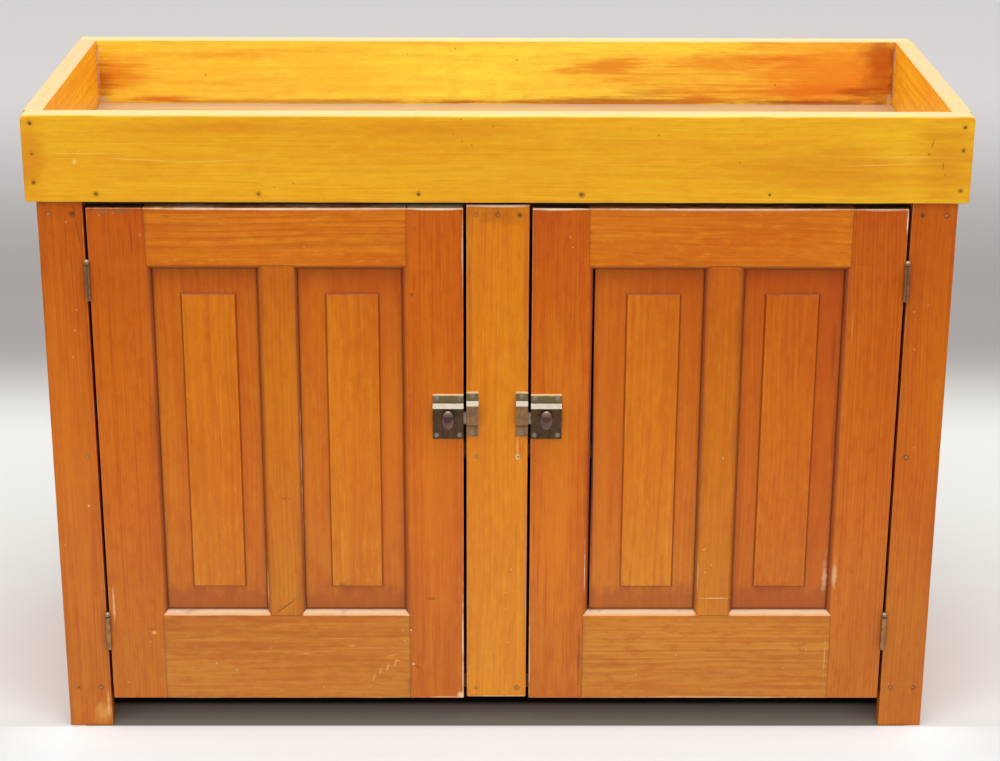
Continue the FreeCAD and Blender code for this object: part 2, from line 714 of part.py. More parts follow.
def sticking_strips(name, side, opening):
    """The mitred, chamfered edge round one panel opening: a strip on each of its four sides."""
    low, high = across(side, *openings[side][opening])
    half_width = (high - low) / 2
    half_height = (opening_top - opening_bottom) / 2
    middle_x = (low + high) / 2
    middle_z = (opening_top + opening_bottom) / 2
    depth = door_back - front
    runs = {
        "low": ((low - s.sticking, front, middle_z), X, half_height),
        "high": ((high + s.sticking, front, middle_z), -X, half_height),
        "foot": ((middle_x, front, opening_bottom - s.sticking), Z, half_width),
        "head": ((middle_x, front, opening_top + s.sticking), -Z, half_width),
    }
    return {
        edge: taper(f"{name}_{opening}_{edge}_strip", start, toward, s.sticking,
                    (-half - s.sticking, half + s.sticking), (length(0), depth),
                    (-half, half), (s.sticking, depth))
        for edge, (start, toward, half) in runs.items()
    }


def door_frame(side, stile_holes, latch_holes):
    """Two stiles, two rails and a mullion, grooved for the panels."""
    name = f"{SIDE_NAMES[side]}_door"
    mullion_middle = mullion_middles[side]
    strips = {opening: sticking_strips(name, side, opening) for opening in openings[side]}
    toward_hinge, toward_latch = ("high", "low") if side == RIGHT else ("low", "high")
    thickness = (front, door_back)
    groove_y = (panel_front - s.panel_play, panel_back + s.panel_play)
    grooves = []
    for opening, edges in openings[side].items():
        low, high = across(side, *edges)
        grooves.append(block(
            f"{name}_{opening}_groove", (low - s.groove_depth, high + s.groove_depth), groove_y,
            (opening_bottom - s.groove_depth, opening_top + s.groove_depth)))
    latch_line = door_latch_edge + flat_stile
    hinge_line = hinge_lines[side]
    foot_line = opening_bottom - s.sticking
    head_line = opening_top + s.sticking
    tenon_y = (panel_front, panel_back)
    rails = {
        "bottom_rail": ((s.door_bottom, foot_line), "foot",
                        (s.door_bottom + s.tenon_setback, opening_bottom - s.groove_depth)),
        "top_rail": ((head_line, door_top), "head",
                     (opening_top + s.groove_depth, door_top - s.tenon_setback)),
    }
    mortises = []
    mullion_x = across(side, mullion_middle - s.mullion_tenon_width / 2,
                       mullion_middle + s.mullion_tenon_width / 2)
    mullion_reach = s.mullion_tenon_length + s.tenon_end_gap
    mullion_mortise = block(f"{name}_mullion_mortise", mullion_x, tenon_y,
                            (foot_line - mullion_reach, head_line + mullion_reach))
    rail_cuts = join(f"{name}_rail_cuts", grooves + [mullion_mortise])
    for rail, (flat_z, edge, tenon_z) in rails.items():
        flat = block(f"{name}_{rail}_flat", across(side, latch_line, hinge_line), thickness, flat_z)
        tenon = block(f"{name}_{rail}_tenon",
                      across(side, latch_line - s.tenon_length, hinge_line + s.tenon_length),
                      tenon_y, tenon_z)
        mortises.append(block(
            f"{name}_{rail}_mortise",
            across(side, latch_line - s.tenon_length - s.tenon_end_gap,
                   hinge_line + s.tenon_length + s.tenon_end_gap), tenon_y, tenon_z))
        body = join(f"{name}_{rail}_blank",
                    [flat, tenon, strips["inner"][edge], strips["outer"][edge]])
        node(cut(f"{name}_{rail}", body, rail_cuts))
    stile_cuts = join(f"{name}_stile_cuts", grooves + mortises)
    stiles = {
        "latch_stile": ((door_latch_edge, latch_line), strips["inner"][toward_latch], latch_holes),
        "hinge_stile": ((hinge_line, door_hinge_edge), strips["outer"][toward_hinge], stile_holes),
    }
    for stile, (flat_x, strip, holes) in stiles.items():
        flat = block(f"{name}_{stile}_flat", across(side, *flat_x), thickness,
                     (s.door_bottom, door_top))
        body = join(f"{name}_{stile}_blank", [flat, strip])
        grooved = cut(f"{name}_{stile}_grooved", body, stile_cuts)
        node(cut(f"{name}_{stile}", grooved, holes))
    flat_half = s.mullion_width / 2 - s.sticking
    flat = block(f"{name}_mullion_flat",
                 across(side, mullion_middle - flat_half, mullion_middle + flat_half), thickness,
                 (foot_line, head_line))
    tenon = block(f"{name}_mullion_tenon", mullion_x, tenon_y,
                  (foot_line - s.mullion_tenon_length, head_line + s.mullion_tenon_length))
    body = join(f"{name}_mullion_blank",
                [flat, strips["inner"][toward_hinge], strips["outer"][toward_latch]])
    grooved = cut(f"{name}_mullion_grooved", body, join(f"{name}_mullion_cuts", grooves))
    node(join(f"{name}_mullion", [grooved, tenon]))


def door_panel(side, opening, hinge_margin, latch_margin, shrinkage):
    """A board in the grooves with a raised field; shrinkage draws it off the latch side."""
    name = f"{SIDE_NAMES[side]}_door_{opening}_panel"
    inner, outer = openings[side][opening]
    tongue = s.groove_depth - s.panel_edge_gap
    if shrinkage is None:
        panel_inner = inner - tongue
    else:
        panel_inner = inner + shrinkage
    plate = block(f"{name}_plate", across(side, panel_inner, outer + tongue),
                  (panel_front, panel_back), (opening_bottom - tongue, opening_top + tongue))
    low, high = across(side, inner + latch_margin, outer - hinge_margin)
    bottom = opening_bottom + s.field_bottom_margin
    top = opening_top - s.field_top_margin
    half_x = (high - low) / 2
    half_z = (top - bottom) / 2
    field = taper(f"{name}_field", ((low + high) / 2, panel_front, (bottom + top) / 2), -Y,
                  s.field_rise, (-half_x, half_x), (-half_z, half_z),
                  (s.field_bevel - half_x, half_x - s.field_bevel),
                  (s.field_bevel - half_z, half_z - s.field_bevel))
    return node(join(name, [plate, field]))


def raised_box(name, x_middle, z_middle, width, base, face, depth):
    """The sloped raised box of a latch case or keeper, standing on the door's face."""
    half = width / 2
    return taper(name, (x_middle, front, z_middle), -Y, depth,
                 (-half, half), (-base / 2, base / 2), (-half, half), (-face / 2, face / 2))


def make_latch(side, latch_holes):
    """Latch case, knob with its crank, and bolt, on the door's latch stile."""
    name = SIDE_NAMES[side]
    x_middle = side * spindle_x
    half_plate = s.latch_plate_height / 2
    plate = block(f"{name}_latch_plate",
                  across(side, door_latch_edge, door_latch_edge + s.latch_plate_width),
                  (plate_face, front), (s.latch_center - half_plate, s.latch_center + half_plate))
    outer = raised_box(f"{name}_latch_box", x_middle, s.latch_center, s.latch_plate_width,
                       s.latch_box_base, s.latch_box_face, s.latch_box_depth)
    hollow = raised_box(f"{name}_latch_hollow", x_middle, s.latch_center,
                        s.latch_plate_width - 2 * s.sheet_thickness,
                        s.latch_box_base - 2 * s.sheet_slant, s.latch_box_face - s.sheet_slant,
                        s.latch_box_depth - s.sheet_thickness)
    half_slot = s.bolt_height / 2 + s.bolt_play
    bolt_front = front - s.bolt_lift - s.bolt_thickness
    slot = block(f"{name}_bolt_slot",
                 across(side, door_latch_edge, door_latch_edge + 2 * s.sheet_thickness),
                 (bolt_front - s.bolt_play, front), (spindle_z - half_slot, spindle_z + half_slot))
    bore = rod(f"{name}_spindle_bore", s.spindle_radius + s.spindle_play,
               (x_middle, front, spindle_z), s.latch_box_depth, -Y)
    shell = cut(f"{name}_latch_shell", join(f"{name}_latch_blank", [plate, outer]),
                join(f"{name}_latch_cuts", [hollow, slot, bore]))
    node(cut(f"{name}_latch_case", shell, latch_holes))

    # the crank pin starts half the knob's turn short of upright, on the hinge side
    half_turn = math.radians(s.crank_turn.number / 2)
    crank_dx = Length(s.crank_radius.number * math.sin(half_turn),
                      "(Sizes.crank_radius * sin(Sizes.crank_turn * 1 deg / 2))")
    crank_dz = Length(s.crank_radius.number * math.cos(half_turn),
                      "(Sizes.crank_radius * cos(Sizes.crank_turn * 1 deg / 2))")
    pin_x = side * (spindle_x + crank_dx)
    crank_back = crank_front + s.crank_thickness
    tail_back = front - s.bolt_lift
    head = doc.addObject("Part::Ellipsoid", f"{name}_knob_head")
    bind(head, "Radius1", s.knob_height / 2)
    bind(head, "Radius2", s.knob_width / 2)
    bind(head, "Radius3", s.knob_thickness / 2)
    head_middle = box_face - s.knob_gap - s.knob_thickness / 2
    put(head, x_middle, head_middle, spindle_z)
    neck = rod(f"{name}_knob_neck", s.spindle_radius, (x_middle, head_middle, spindle_z),
               crank_front + s.crank_thickness / 2 - head_middle, Y)
    disc = rod(f"{name}_crank", s.crank_radius + s.crank_rim, (x_middle, crank_front, spindle_z),
               s.crank_thickness, Y)
    pin = rod(f"{name}_crank_pin", s.crank_pin_radius,
              (pin_x, crank_front + s.crank_thickness / 2, spindle_z + crank_dz),
              tail_back - s.crank_gap - crank_front - s.crank_thickness / 2, Y)
    node(join(f"{name}_knob", [head, neck, disc, pin]))

    # the tail plate is wider than the slot in the case's edge and stops just inside it
    bolt_travel = 2 * crank_dx
    tip = center_stile_half + s.bolt_rest_gap
    tail_start = door_latch_edge + s.sheet_thickness + s.bolt_stop_gap + bolt_travel
    slot_half = s.crank_pin_radius + s.crank_pin_play
    tail_stop = spindle_x + crank_dx + slot_half + s.tail_end
    nose = block(f"{name}_bolt_nose", across(side, tip, tail_start + s.sheet_thickness),
                 (bolt_front, tail_back),
                 (spindle_z - s.bolt_height / 2, spindle_z + s.bolt_height / 2))
    tail = block(f"{name}_bolt_tail", across(side, tail_start, tail_stop),
                 (tail_back - s.tail_thickness, tail_back),
                 (spindle_z - s.tail_height / 2, spindle_z + s.tail_height / 2))
    pin_slot = block(
        f"{name}_bolt_pin_slot",
        across(side, spindle_x + crank_dx - slot_half, spindle_x + crank_dx + slot_half),
        (crank_back, front),
        (spindle_z + crank_dz - slot_half, spindle_z + s.crank_radius + slot_half))
    node(cut(f"{name}_bolt", join(f"{name}_bolt_blank", [nose, tail]), pin_slot))


def make_keeper(side):
    """The strap on the centre stile that the bolt slides behind."""
    name = SIDE_NAMES[side]
    half = s.keeper_height / 2
    plate = block(f"{name}_keeper_plate",
                  across(side, center_stile_half - s.keeper_width, center_stile_half),
                  (plate_face, front), (keeper_middle - half, keeper_middle + half))
    outer = raised_box(f"{name}_keeper_box", side * keeper_x, keeper_middle, s.keeper_width,
                       s.latch_box_base, s.latch_box_face, s.keeper_depth)
    hollow = raised_box(f"{name}_keeper_hollow", side * keeper_x, keeper_middle,
                        s.keeper_width + 2 * s.sheet_thickness,
                        s.latch_box_base - 2 * s.sheet_slant, s.latch_box_face - s.sheet_slant,
                        s.keeper_depth - s.sheet_thickness)
    strap = cut(f"{name}_keeper_strap", join(f"{name}_keeper_blank", [plate, outer]), hollow)
    node(cut(f"{name}_keeper", strap, keeper_screw_holes))


def make_door(side):
    """One door with its hinge leaves and latch."""
    name = SIDE_NAMES[side]
    spots = []
    for level in hinge_middles:
        spots += hinge_screw_spots(side, level, door_leaf_face, -side * X)
    leaf_screws, leaf_holes = screws(f"{name}_door_hinge_screws", spots)
    leaves = []
    for level in hinge_middles:
        leaf = make_leaf(f"{name}_{level}_door_leaf", side, level,
                         (door_hinge_edge, door_leaf_face), knuckle_spans(level)[1::2])
        leaves.append(cut(f"{name}_{level}_door_leaf_drilled", leaf, leaf_holes))
    node(group(f"{name}_door_leaves", leaves))
    reach_x = s.latch_plate_width / 2 - s.latch_screw_inset_x
    reach_z = s.latch_plate_height / 2 - s.latch_screw_inset_z
    plate_spots = [
        ((side * (spindle_x + x_end * reach_x), plate_face, s.latch_center + z_end * reach_z), Y)
        for x_end in (-1, 1) for z_end in (-1, 1)]
    latch_screws, latch_holes = screws(f"{name}_latch_screws", plate_spots)
    door_frame(side, leaf_holes, latch_holes)
    make_latch(side, latch_holes)
    make_keeper(side)


make_door(LEFT)
make_door(RIGHT)
door_panel(LEFT, "outer", s.left_outer_hinge_margin, s.left_outer_latch_margin, None)
door_panel(LEFT, "inner", s.left_inner_hinge_margin, s.left_inner_latch_margin, None)
door_panel(RIGHT, "inner", s.right_inner_hinge_margin, s.right_inner_latch_margin,
           s.panel_shrinkage)
door_panel(RIGHT, "outer", s.right_outer_hinge_margin, s.right_outer_latch_margin, None)


# ---------------------------------------------------------------- check and export

doc.recompute()
failed = [piece.Name for piece in doc.Objects
          if any(state in ("Invalid", "Error") for state in piece.State)]
if failed:
    raise RuntimeError(f"objects that did not compute: {failed}")
for piece in nodes:
    if piece.Shape.isNull() or not piece.Shape.isValid() or not piece.Shape.Solids:
        raise RuntimeError(f"{piece.Name} has no valid solid")
for piece in nodes:
    piece.Shape.exportStep(f"parts/{piece.Label}.step")
print(f"{len(nodes)} sub-parts, {sum(len(piece.Shape.Solids) for piece in nodes)} solids")
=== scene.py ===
"""The looks of an old pine dry sink cabinet: worn boards, framed doors, hardware, a studio.

Metres, +Z up, +X to the right seen from the front, +Y to the back, as in the packed frame.
"""
import json
import math
from dataclasses import dataclass
from functools import reduce

import bmesh
import bpy
import numpy as np
from mathutils import Matrix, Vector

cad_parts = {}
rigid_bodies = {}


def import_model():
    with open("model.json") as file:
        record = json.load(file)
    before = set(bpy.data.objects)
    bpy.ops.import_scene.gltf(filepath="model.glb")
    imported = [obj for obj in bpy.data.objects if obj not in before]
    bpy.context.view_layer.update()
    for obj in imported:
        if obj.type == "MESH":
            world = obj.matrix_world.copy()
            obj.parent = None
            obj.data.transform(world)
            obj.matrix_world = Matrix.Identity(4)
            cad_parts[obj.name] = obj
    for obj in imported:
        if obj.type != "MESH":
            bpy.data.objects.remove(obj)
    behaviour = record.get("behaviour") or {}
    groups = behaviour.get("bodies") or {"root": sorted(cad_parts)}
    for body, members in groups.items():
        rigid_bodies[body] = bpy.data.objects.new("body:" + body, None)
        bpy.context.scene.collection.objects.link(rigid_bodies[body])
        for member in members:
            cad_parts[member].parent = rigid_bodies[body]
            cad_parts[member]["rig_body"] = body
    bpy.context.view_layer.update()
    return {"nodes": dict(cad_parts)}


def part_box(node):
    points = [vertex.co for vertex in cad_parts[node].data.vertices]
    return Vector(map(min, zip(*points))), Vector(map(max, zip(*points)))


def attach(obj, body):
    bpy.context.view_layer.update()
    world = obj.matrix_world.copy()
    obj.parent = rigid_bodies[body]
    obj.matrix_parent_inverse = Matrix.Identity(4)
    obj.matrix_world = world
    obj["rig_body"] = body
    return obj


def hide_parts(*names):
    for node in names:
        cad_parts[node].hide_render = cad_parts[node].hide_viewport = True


bl_info = {
    "name": "Dry Sink Cabinet",
    "version": (1, 0, 0),
    "blender": (4, 5, 0),
    "location": "3D View > Sidebar > Cabinet",
    "description": "Dresses a packed cabinet in worn pine boards, panelled doors and old hardware",
    "category": "Add Mesh",
}

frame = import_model()
NODES = frame["nodes"]

MM = 0.001

# The least distance between two lines of a mesh, for a step that has to stay sharp.
HAIR = 0.02 * MM
SIDES = ("left", "right")
FACES = {"left": "-x", "right": "+x"}


# ---------------------------------------------------------------- user settings

def linear(red, green, blue):
    """A colour given as the screen shows it, 0 to 255, as linear light."""
    screen = np.array((red, green, blue)) / 255
    light = np.where(screen <= 0.04045, screen / 12.92, ((screen + 0.055) / 1.055) ** 2.4)
    return tuple(float(part) for part in light)


def color_setting(name, description, red, green, blue):
    """A colour property with its default."""
    return bpy.props.FloatVectorProperty(
        name=name, description=description, subtype="COLOR", size=3, min=0, max=1,
        default=linear(red, green, blue))


def angle_setting(name, description, degrees):
    """An angle property with its default."""
    return bpy.props.FloatProperty(
        name=name, description=description, subtype="ANGLE", default=math.radians(degrees))


class CabinetWood(bpy.types.PropertyGroup):
    """Colours of the varnished boards."""
    tray: color_setting("Tray", "Front of the tray", 252, 183, 30)
    tray_back: color_setting("Tray back", "Back board of the tray", 250, 210, 64)
    floor: color_setting("Tray floor", "Bleached floor of the tray", 190, 160, 114)
    # Painted glare: this pinkish strip along the back of the tray floor stands in for light glaring
    # there.
    back_glare: color_setting("Silt", "Dirt along the back of the tray floor", 176, 144, 116)
    center: color_setting("Centre stile", "Stile between the doors", 227, 131, 18)
    case: color_setting("Case", "Sides and end stiles", 201, 95, 7)
    hinge_stile: color_setting("Hinge stiles", "Stiles at the hinges", 202, 93, 8)
    latch_stile: color_setting("Latch stiles", "Stiles at the latches", 206, 95, 8)
    top_rail: color_setting("Top rails", "Upper rails of the doors", 226, 127, 19)
    bottom_rail: color_setting("Bottom rails", "Lower rails of the doors", 206, 108, 20)
    mullion: color_setting("Mullions", "Bars between the panels", 206, 106, 14)
    panel: color_setting("Panel", "Raised panels of the doors", 216, 114, 16)
    inside: color_setting("Inside", "Shelves and rails that carry little varnish", 176, 122, 66)
    back: color_setting("Back", "Back boards, left raw", 150, 112, 74)
    rail: color_setting("Hidden rails", "Rails in the dark above the doors", 84, 70, 50)
    bare: color_setting("Worn wood", "Bare wood where the varnish has gone", 236, 190, 130)
    rim: color_setting("Rim", "Sun-bleached top edges of the tray", 196, 176, 126)
    # Ledge and lip are a pale painted highlight on mouldings that face up, with dust; the ledge
    # colour also paints the highlight on the panels' steps.
    ledge: color_setting("Ledge", "Dusty mouldings that face up", 204, 168, 132)
    lip: color_setting("Worn lip", "Lower edges of those mouldings", 212, 148, 90)
    dust: color_setting("Dust", "Dirt that lies on the mouldings", 150, 100, 66)
    # The door tops are dirt and painted shade: their top faces lie in shadow under the tray.
    top_shade_and_dirt: color_setting("Door tops", "Dirty upper edges of the doors", 62, 52, 42)
    grey_lid: color_setting("Dusty door top", "Where the left door carries dust", 200, 206, 186)
    margin: color_setting("Panel margins", "Panels round their raised fields", 184, 68, 16)
    # The groove colour paints shade along the panels' openings and the mouldings' sides, and dirt and
    # shade along the fields' steps.
    groove: color_setting("Grooves", "Stained corners of the panels", 104, 40, 10)
    grime: color_setting("Grime", "Old dirt in corners and along joints", 62, 34, 18)
    arris: bpy.props.FloatProperty(
        name="Arris", description="Radius of the worn edges of the boards", default=1.4 * MM,
        min=0, unit="LENGTH", precision=4)
    gloss: bpy.props.FloatProperty(
        name="Varnish roughness", description="Roughness of the varnish", default=0.36, min=0,
        max=1, subtype="FACTOR")


class CabinetMetal(bpy.types.PropertyGroup):
    """Colours of hinges, latches and nails."""
    plate: color_setting("Plate", "Brown faces of the latches", 104, 80, 60)
    flange: color_setting("Flange", "Olive upper strips of the latches", 150, 130, 88)
    keeper: color_setting("Keeper", "Keepers on the centre stile", 176, 134, 96)
    hinge: color_setting("Hinge", "Hinge knuckles", 160, 120, 86)
    # The worn colour also paints the highlight on metal faces that look up.
    worn: color_setting("Worn metal", "Bright metal where it is rubbed", 158, 150, 134)
    crest: color_setting("Crest", "Rubbed upper edges of the latches", 240, 206, 152)
    bolt: color_setting("Bolt", "Bolts, rubbed by their cases", 176, 166, 148)
    tarnish: color_setting("Tarnish", "Brown film on the metal", 72, 52, 38)
    knob: color_setting("Knob", "Bronzed knobs", 112, 84, 80)
    iron: color_setting("Iron", "Nail heads", 104, 68, 38)
    rust: color_setting("Rust", "Nail heads of the tray", 150, 88, 36)
    filler: color_setting("Filler", "Nail heads under old filler", 176, 158, 112)


class CabinetStudio(bpy.types.PropertyGroup):
    """Camera, floor and lamps."""
    eye: bpy.props.FloatVectorProperty(
        name="Camera", description="Place of the camera", size=3, subtype="TRANSLATION",
        unit="LENGTH", default=(-0.0207, -3.1227, 1.5706))
    pitch: angle_setting("Pitch", "Camera turned down from level", 20.055)
    yaw: angle_setting("Yaw", "Camera turned to the right", 0.481)
    roll: angle_setting("Roll", "Camera turned about its line of sight", 0.238)
    lens: bpy.props.FloatProperty(
        name="Lens", description="Focal length on a 36 mm wide sensor, in millimetres",
        default=83.41, min=1)
    floor: color_setting("Floor", "Pale floor", 207, 206, 201)
    # The side floor is painted shade, the foot and front floors a painted pool of light before the
    # cabinet, the brink, under-case and deep-shadow floors a painted shadow under it, and the
    # backdrop shade a band of painted shade behind it.
    aside: color_setting("Side floor", "Floor to the left and right", 193, 193, 190)
    foot: color_setting("Foot floor", "Floor close before the cabinet", 219, 218, 216)
    front: color_setting("Front floor", "Floor farther before the cabinet", 203, 207, 206)
    shadow_edge: color_setting("Brink", "First of the floor that the cabinet hides", 104, 99, 86)
    under: color_setting("Under the case", "Floor under the cabinet", 178, 174, 164)
    deep: color_setting("Deep shadow", "Floor far under the cabinet", 22, 18, 14)
    shade: color_setting("Backdrop shade", "Darkest band of the backdrop", 146, 141, 138)
    far: color_setting("Backdrop", "Backdrop above the band", 212, 208, 206)
    near: color_setting("Studio floor", "Dark floor in front of the paper", 70, 66, 62)
    sky_strength: bpy.props.FloatProperty(
        name="Room light", description="Even light from all sides", default=0.95, min=0)
    softbox_power: bpy.props.FloatProperty(
        name="Softbox", description="Power of the overhead softbox, in watts", default=205, min=0)


SETTINGS = {
    "cabinet_wood": CabinetWood,
    "cabinet_metal": CabinetMetal,
    "cabinet_studio": CabinetStudio,
}


# ---------------------------------------------------------------- node trees

class Value:
    """A number socket; Python's operators on it add Math nodes."""

    def __init__(self, graph, socket):
        self.graph = graph
        self.socket = socket

    def __add__(self, other):
        return self.graph.math("ADD", self, other)

    def __sub__(self, other):
        return self.graph.math("SUBTRACT", self, other)

    def __mul__(self, other):
        return self.graph.math("MULTIPLY", self, other)

    def __truediv__(self, other):
        return self.graph.math("DIVIDE", self, other)

    def __rsub__(self, other):
        return self.graph.math("SUBTRACT", other, self)

    __radd__ = __add__
    __rmul__ = __mul__


class Graph:
    """The node tree of one material, and the colour that has been laid so far."""

    def __init__(self, name):
        self.material = bpy.data.materials.new(name)
        self.material.use_nodes = True
        self.tree = self.material.node_tree
        self.tree.nodes.clear()
        self.color = None

    def add(self, kind, settings, sockets, output=0):
        """A node: its settings are set first, then its sockets get values or links."""
        node = self.tree.nodes.new(kind)
        for name, value in settings.items():
            setattr(node, name, value)
        for name, value in sockets.items():
            if isinstance(value, Value):
                self.tree.links.new(value.socket, node.inputs[name])
            else:
                node.inputs[name].default_value = value
        return Value(self, node.outputs[output]) if node.outputs else node

    def math(self, operation, *terms):
        """A Math node on two or three terms."""
        return self.add("ShaderNodeMath", {"operation": operation}, dict(enumerate(terms)))

    def lowest(self, *terms):
        """The smallest of the terms."""
        return reduce(lambda first, second: self.math("MINIMUM", first, second), terms)

    def highest(self, *terms):
        """The largest of the terms."""
        return reduce(lambda first, second: self.math("MAXIMUM", first, second), terms)

    def step(self, value, start, end, low=0.0, high=1.0):
        """Low before start, high past end, with a smooth rise between."""
        return self.add("ShaderNodeMapRange", {"interpolation_type": "SMOOTHSTEP"},
                        {"Value": value, "From Min": start, "From Max": end,
                         "To Min": low, "To Max": high})

    def vector(self, *parts):
        """A vector of three numbers or sockets."""
        return self.add("ShaderNodeCombineXYZ", {}, dict(enumerate(parts)))

    def noise(self, vector, detail=2.0, roughness=0.5):
        """Smooth noise of about 0 to 1 with one wave to a unit."""
        return self.add("ShaderNodeTexNoise", {"noise_dimensions": "3D"},
                        {"Vector": vector, "Scale": 1.0, "Detail": detail,
                         "Roughness": roughness})

    def object_place(self):
        """The shaded point in the object's own space."""
        return self.add("ShaderNodeTexCoord", {}, {}, "Object")

    def facing(self):
        """X, Y and Z of the surface's normal."""
        return self.parts(self.add("ShaderNodeNewGeometry", {}, {}, "Normal"))

    def parts(self, vector):
        """X, Y and Z of a vector."""
        node = self.add("ShaderNodeSeparateXYZ", {}, {0: vector}).socket.node
        return [Value(self, output) for output in node.outputs]

    def reach(self, place, middle, radii, turn=0.0):
        """Distance from a middle, in radii along x, y and z turned about y."""
        spot = self.add("ShaderNodeMapping", {"vector_type": "TEXTURE"}, {
            "Vector": place, "Location": middle, "Rotation": (0, -turn, 0), "Scale": radii})
        return self.add("ShaderNodeVectorMath", {"operation": "LENGTH"}, {0: spot}, "Value")

    def blend(self, share, first, second, kind="MIX"):
        """Two colours mixed by a share."""
        return self.add("ShaderNodeMix", {"data_type": "RGBA", "blend_type": kind},
                        {0: share, 6: opaque(first), 7: opaque(second)}, 2)

    def lay(self, share, tint, kind="MIX"):
        """Lays a tint over the colour so far, by a share."""
        self.color = self.blend(share, self.color, tint, kind)

    def bump(self, height, distance, strength):
        """A normal tilted by a height."""
        return self.add("ShaderNodeBump", {},
                        {"Height": height, "Distance": distance, "Strength": strength})

    def surface(self, **sockets):
        """The shader and the material's output; returns the material."""
        shader = self.add("ShaderNodeBsdfPrincipled", {},
                          {name.replace("_", " "): value for name, value in sockets.items()})
        self.add("ShaderNodeOutputMaterial", {}, {"Surface": shader})
        return self.material


def opaque(color):
    """A colour with full alpha; a socket stays as it is."""
    return color if isinstance(color, Value) else (*tuple(color)[:3], 1.0)


# ---------------------------------------------------------------- boards: place and figure

@dataclass
class Lie:
    """How a board lies: along its grain, across its face, and in from that face."""
    origin: np.ndarray
    axes: tuple
    signs: tuple
    size: tuple

    def world(self, local):
        """Local points as world points."""
        points = np.empty(local.shape)
        for part, (axis, sign) in enumerate(zip(self.axes, self.signs)):
            points[..., axis] = self.origin[axis] + sign * local[..., part]
        return points

    def local(self, points):
        """World points as local points."""
        parts = [sign * (points[..., axis] - self.origin[axis])
                 for axis, sign in zip(self.axes, self.signs)]
        return np.stack(parts, axis=-1)


def lie(low, high, grain, face):
    """The lie of a board that fills a box, with grain along one axis and its face to a side."""
    low, high = np.array(low, float), np.array(high, float)
    grain_axis = "xyz".index(grain)
    face_axis = "xyz".index(face[1])
    across_axis = 3 - grain_axis - face_axis
    origin = low.copy()
    inward = 1
    if face[0] == "+":
        origin[face_axis] = high[face_axis]
        inward = -1
    axes = (grain_axis, across_axis, face_axis)
    size = tuple((high - low)[list(axes)].tolist())
    return Lie(origin, axes, (1, 1, inward), size)


@dataclass
class Figure:
    """How a board was sawn from the log, in metres: where the pith runs and how rings lie.

    Rings may come into sight between two places along the board.
    """
    pith_across: float
    pith_depth: float
    lean: float = 0.0
    climb: float = 0.0
    ring: float = 0.0045
    contrast: float = 0.5
    pale: bool = False
    shown_from: tuple = None


@dataclass
class Mark:
    """A stain, scratch or chip on a face that looks forward.

    Lengths are in millimetres: x from the cabinet's middle, z from the floor, half sizes along
    both.  Turn is in degrees, from x toward z.  A stain spreads along the grain.
    """
    x: float
    z: float
    half_x: float
    half_z: float
    color: tuple
    strength: float = 1.0
    turn: float = 0.0
    ragged: float = 0.5
    stain: bool = False


@dataclass
class Coat:
    """What a board's surface looks like.

    Warm is how much its colour wanders between red and yellow, wear how bare its arrises are,
    grime how dirty its edges are, joint how dark its ends are, ledge how pale its upward faces
    are, and crest how pale its upper front edge is, worn wood with a painted highlight, above a
    top darkened by dirt and painted shade.  A moulded board has edges toward panels, which get
    painted shade and a painted highlight.  Painted haze is how much painted light turns it
    yellower and greyer toward the floor, back glare is the y from which a pinkish painted glare
    lies on it, behind tints what faces the wall, and gloss is its roughness if that isn't the
    varnish's.  The wear box bounds what its arrises belong to.  Field and opening are outlines
    of a panel, and halos the places of nails as (along, across).
    """
    color: tuple
    figure: Figure
    seed: int = 0
    warm: float = 0.5
    wear: float = 0.5
    grime: float = 0.5
    joint: float = 0.0
    ledge: float = 0.0
    ledge_color: tuple = None
    crest: float = 0.0
    moulded: bool = False
    top_shade_and_dirt: tuple = None
    fade: float = 0.0
    back_glare: float = 0.0
    behind: tuple = None
    gloss: float = None
    wear_box: tuple = None
    field: tuple = None
    opening: tuple = None
    halos: tuple = ()
    marks: tuple = ()


def smooth_waves(places, seed, wave, count=5):
    """A smooth random curve of about -1 to 1: sines of nearby wave lengths, added."""
    random = np.random.default_rng(seed)
    lengths = wave * random.uniform(0.4, 1.6, count)
    phases = random.uniform(0, 2 * np.pi, count)
    angles = 2 * np.pi * places[..., None] / lengths + phases
    return np.sin(angles).sum(axis=-1) / count * 1.6


# ---------------------------------------------------------------- boards: meshes

MERGE_WITHIN = 0.002 * MM
STATION_PITCH = 40 * MM
ROUND_STEPS = 6
ARRIS_STEPS = 5

# An arris takes at most this share of a side, and the face's grid stays clear of it.
ARRIS_ROOM = 0.45
CLEAR_OF_ARRIS = 1.01

# Waves of an old arris: step of their seed, wave length and share of the arris.
ARRIS_WAVES = ((31, 90 * MM, 0.35), (57, 25 * MM, 0.175))

# Grid lines round a dent, in its radii, and the width of its bell.
DENT_LINES = np.array([-1.5, -1.0, -0.55, 0, 0.55, 1.0, 1.5])
DENT_BELL = 0.62


def build_mesh(name, points, faces, sharp=35.0):
    """A piece from points and faces: doubles merged, faces outward, flat faces kept flat."""
    mesh = bpy.data.meshes.new(name)
    mesh.from_pydata(points.reshape(-1, 3).tolist(), [], faces)
    work = bmesh.new()
    work.from_mesh(mesh)
    bmesh.ops.remove_doubles(work, verts=work.verts, dist=MERGE_WITHIN)
    bmesh.ops.dissolve_degenerate(work, edges=work.edges, dist=MERGE_WITHIN)
    bmesh.ops.recalc_face_normals(work, faces=work.faces)
    work.to_mesh(mesh)
    work.free()
    mesh.shade_smooth()
    mesh.set_sharp_from_angle(angle=math.radians(sharp))
    piece = bpy.data.objects.new(name, mesh)
    bpy.context.scene.collection.objects.link(piece)
    even = piece.modifiers.new("even_normals", "WEIGHTED_NORMAL")
    even.keep_sharp = True
    return piece


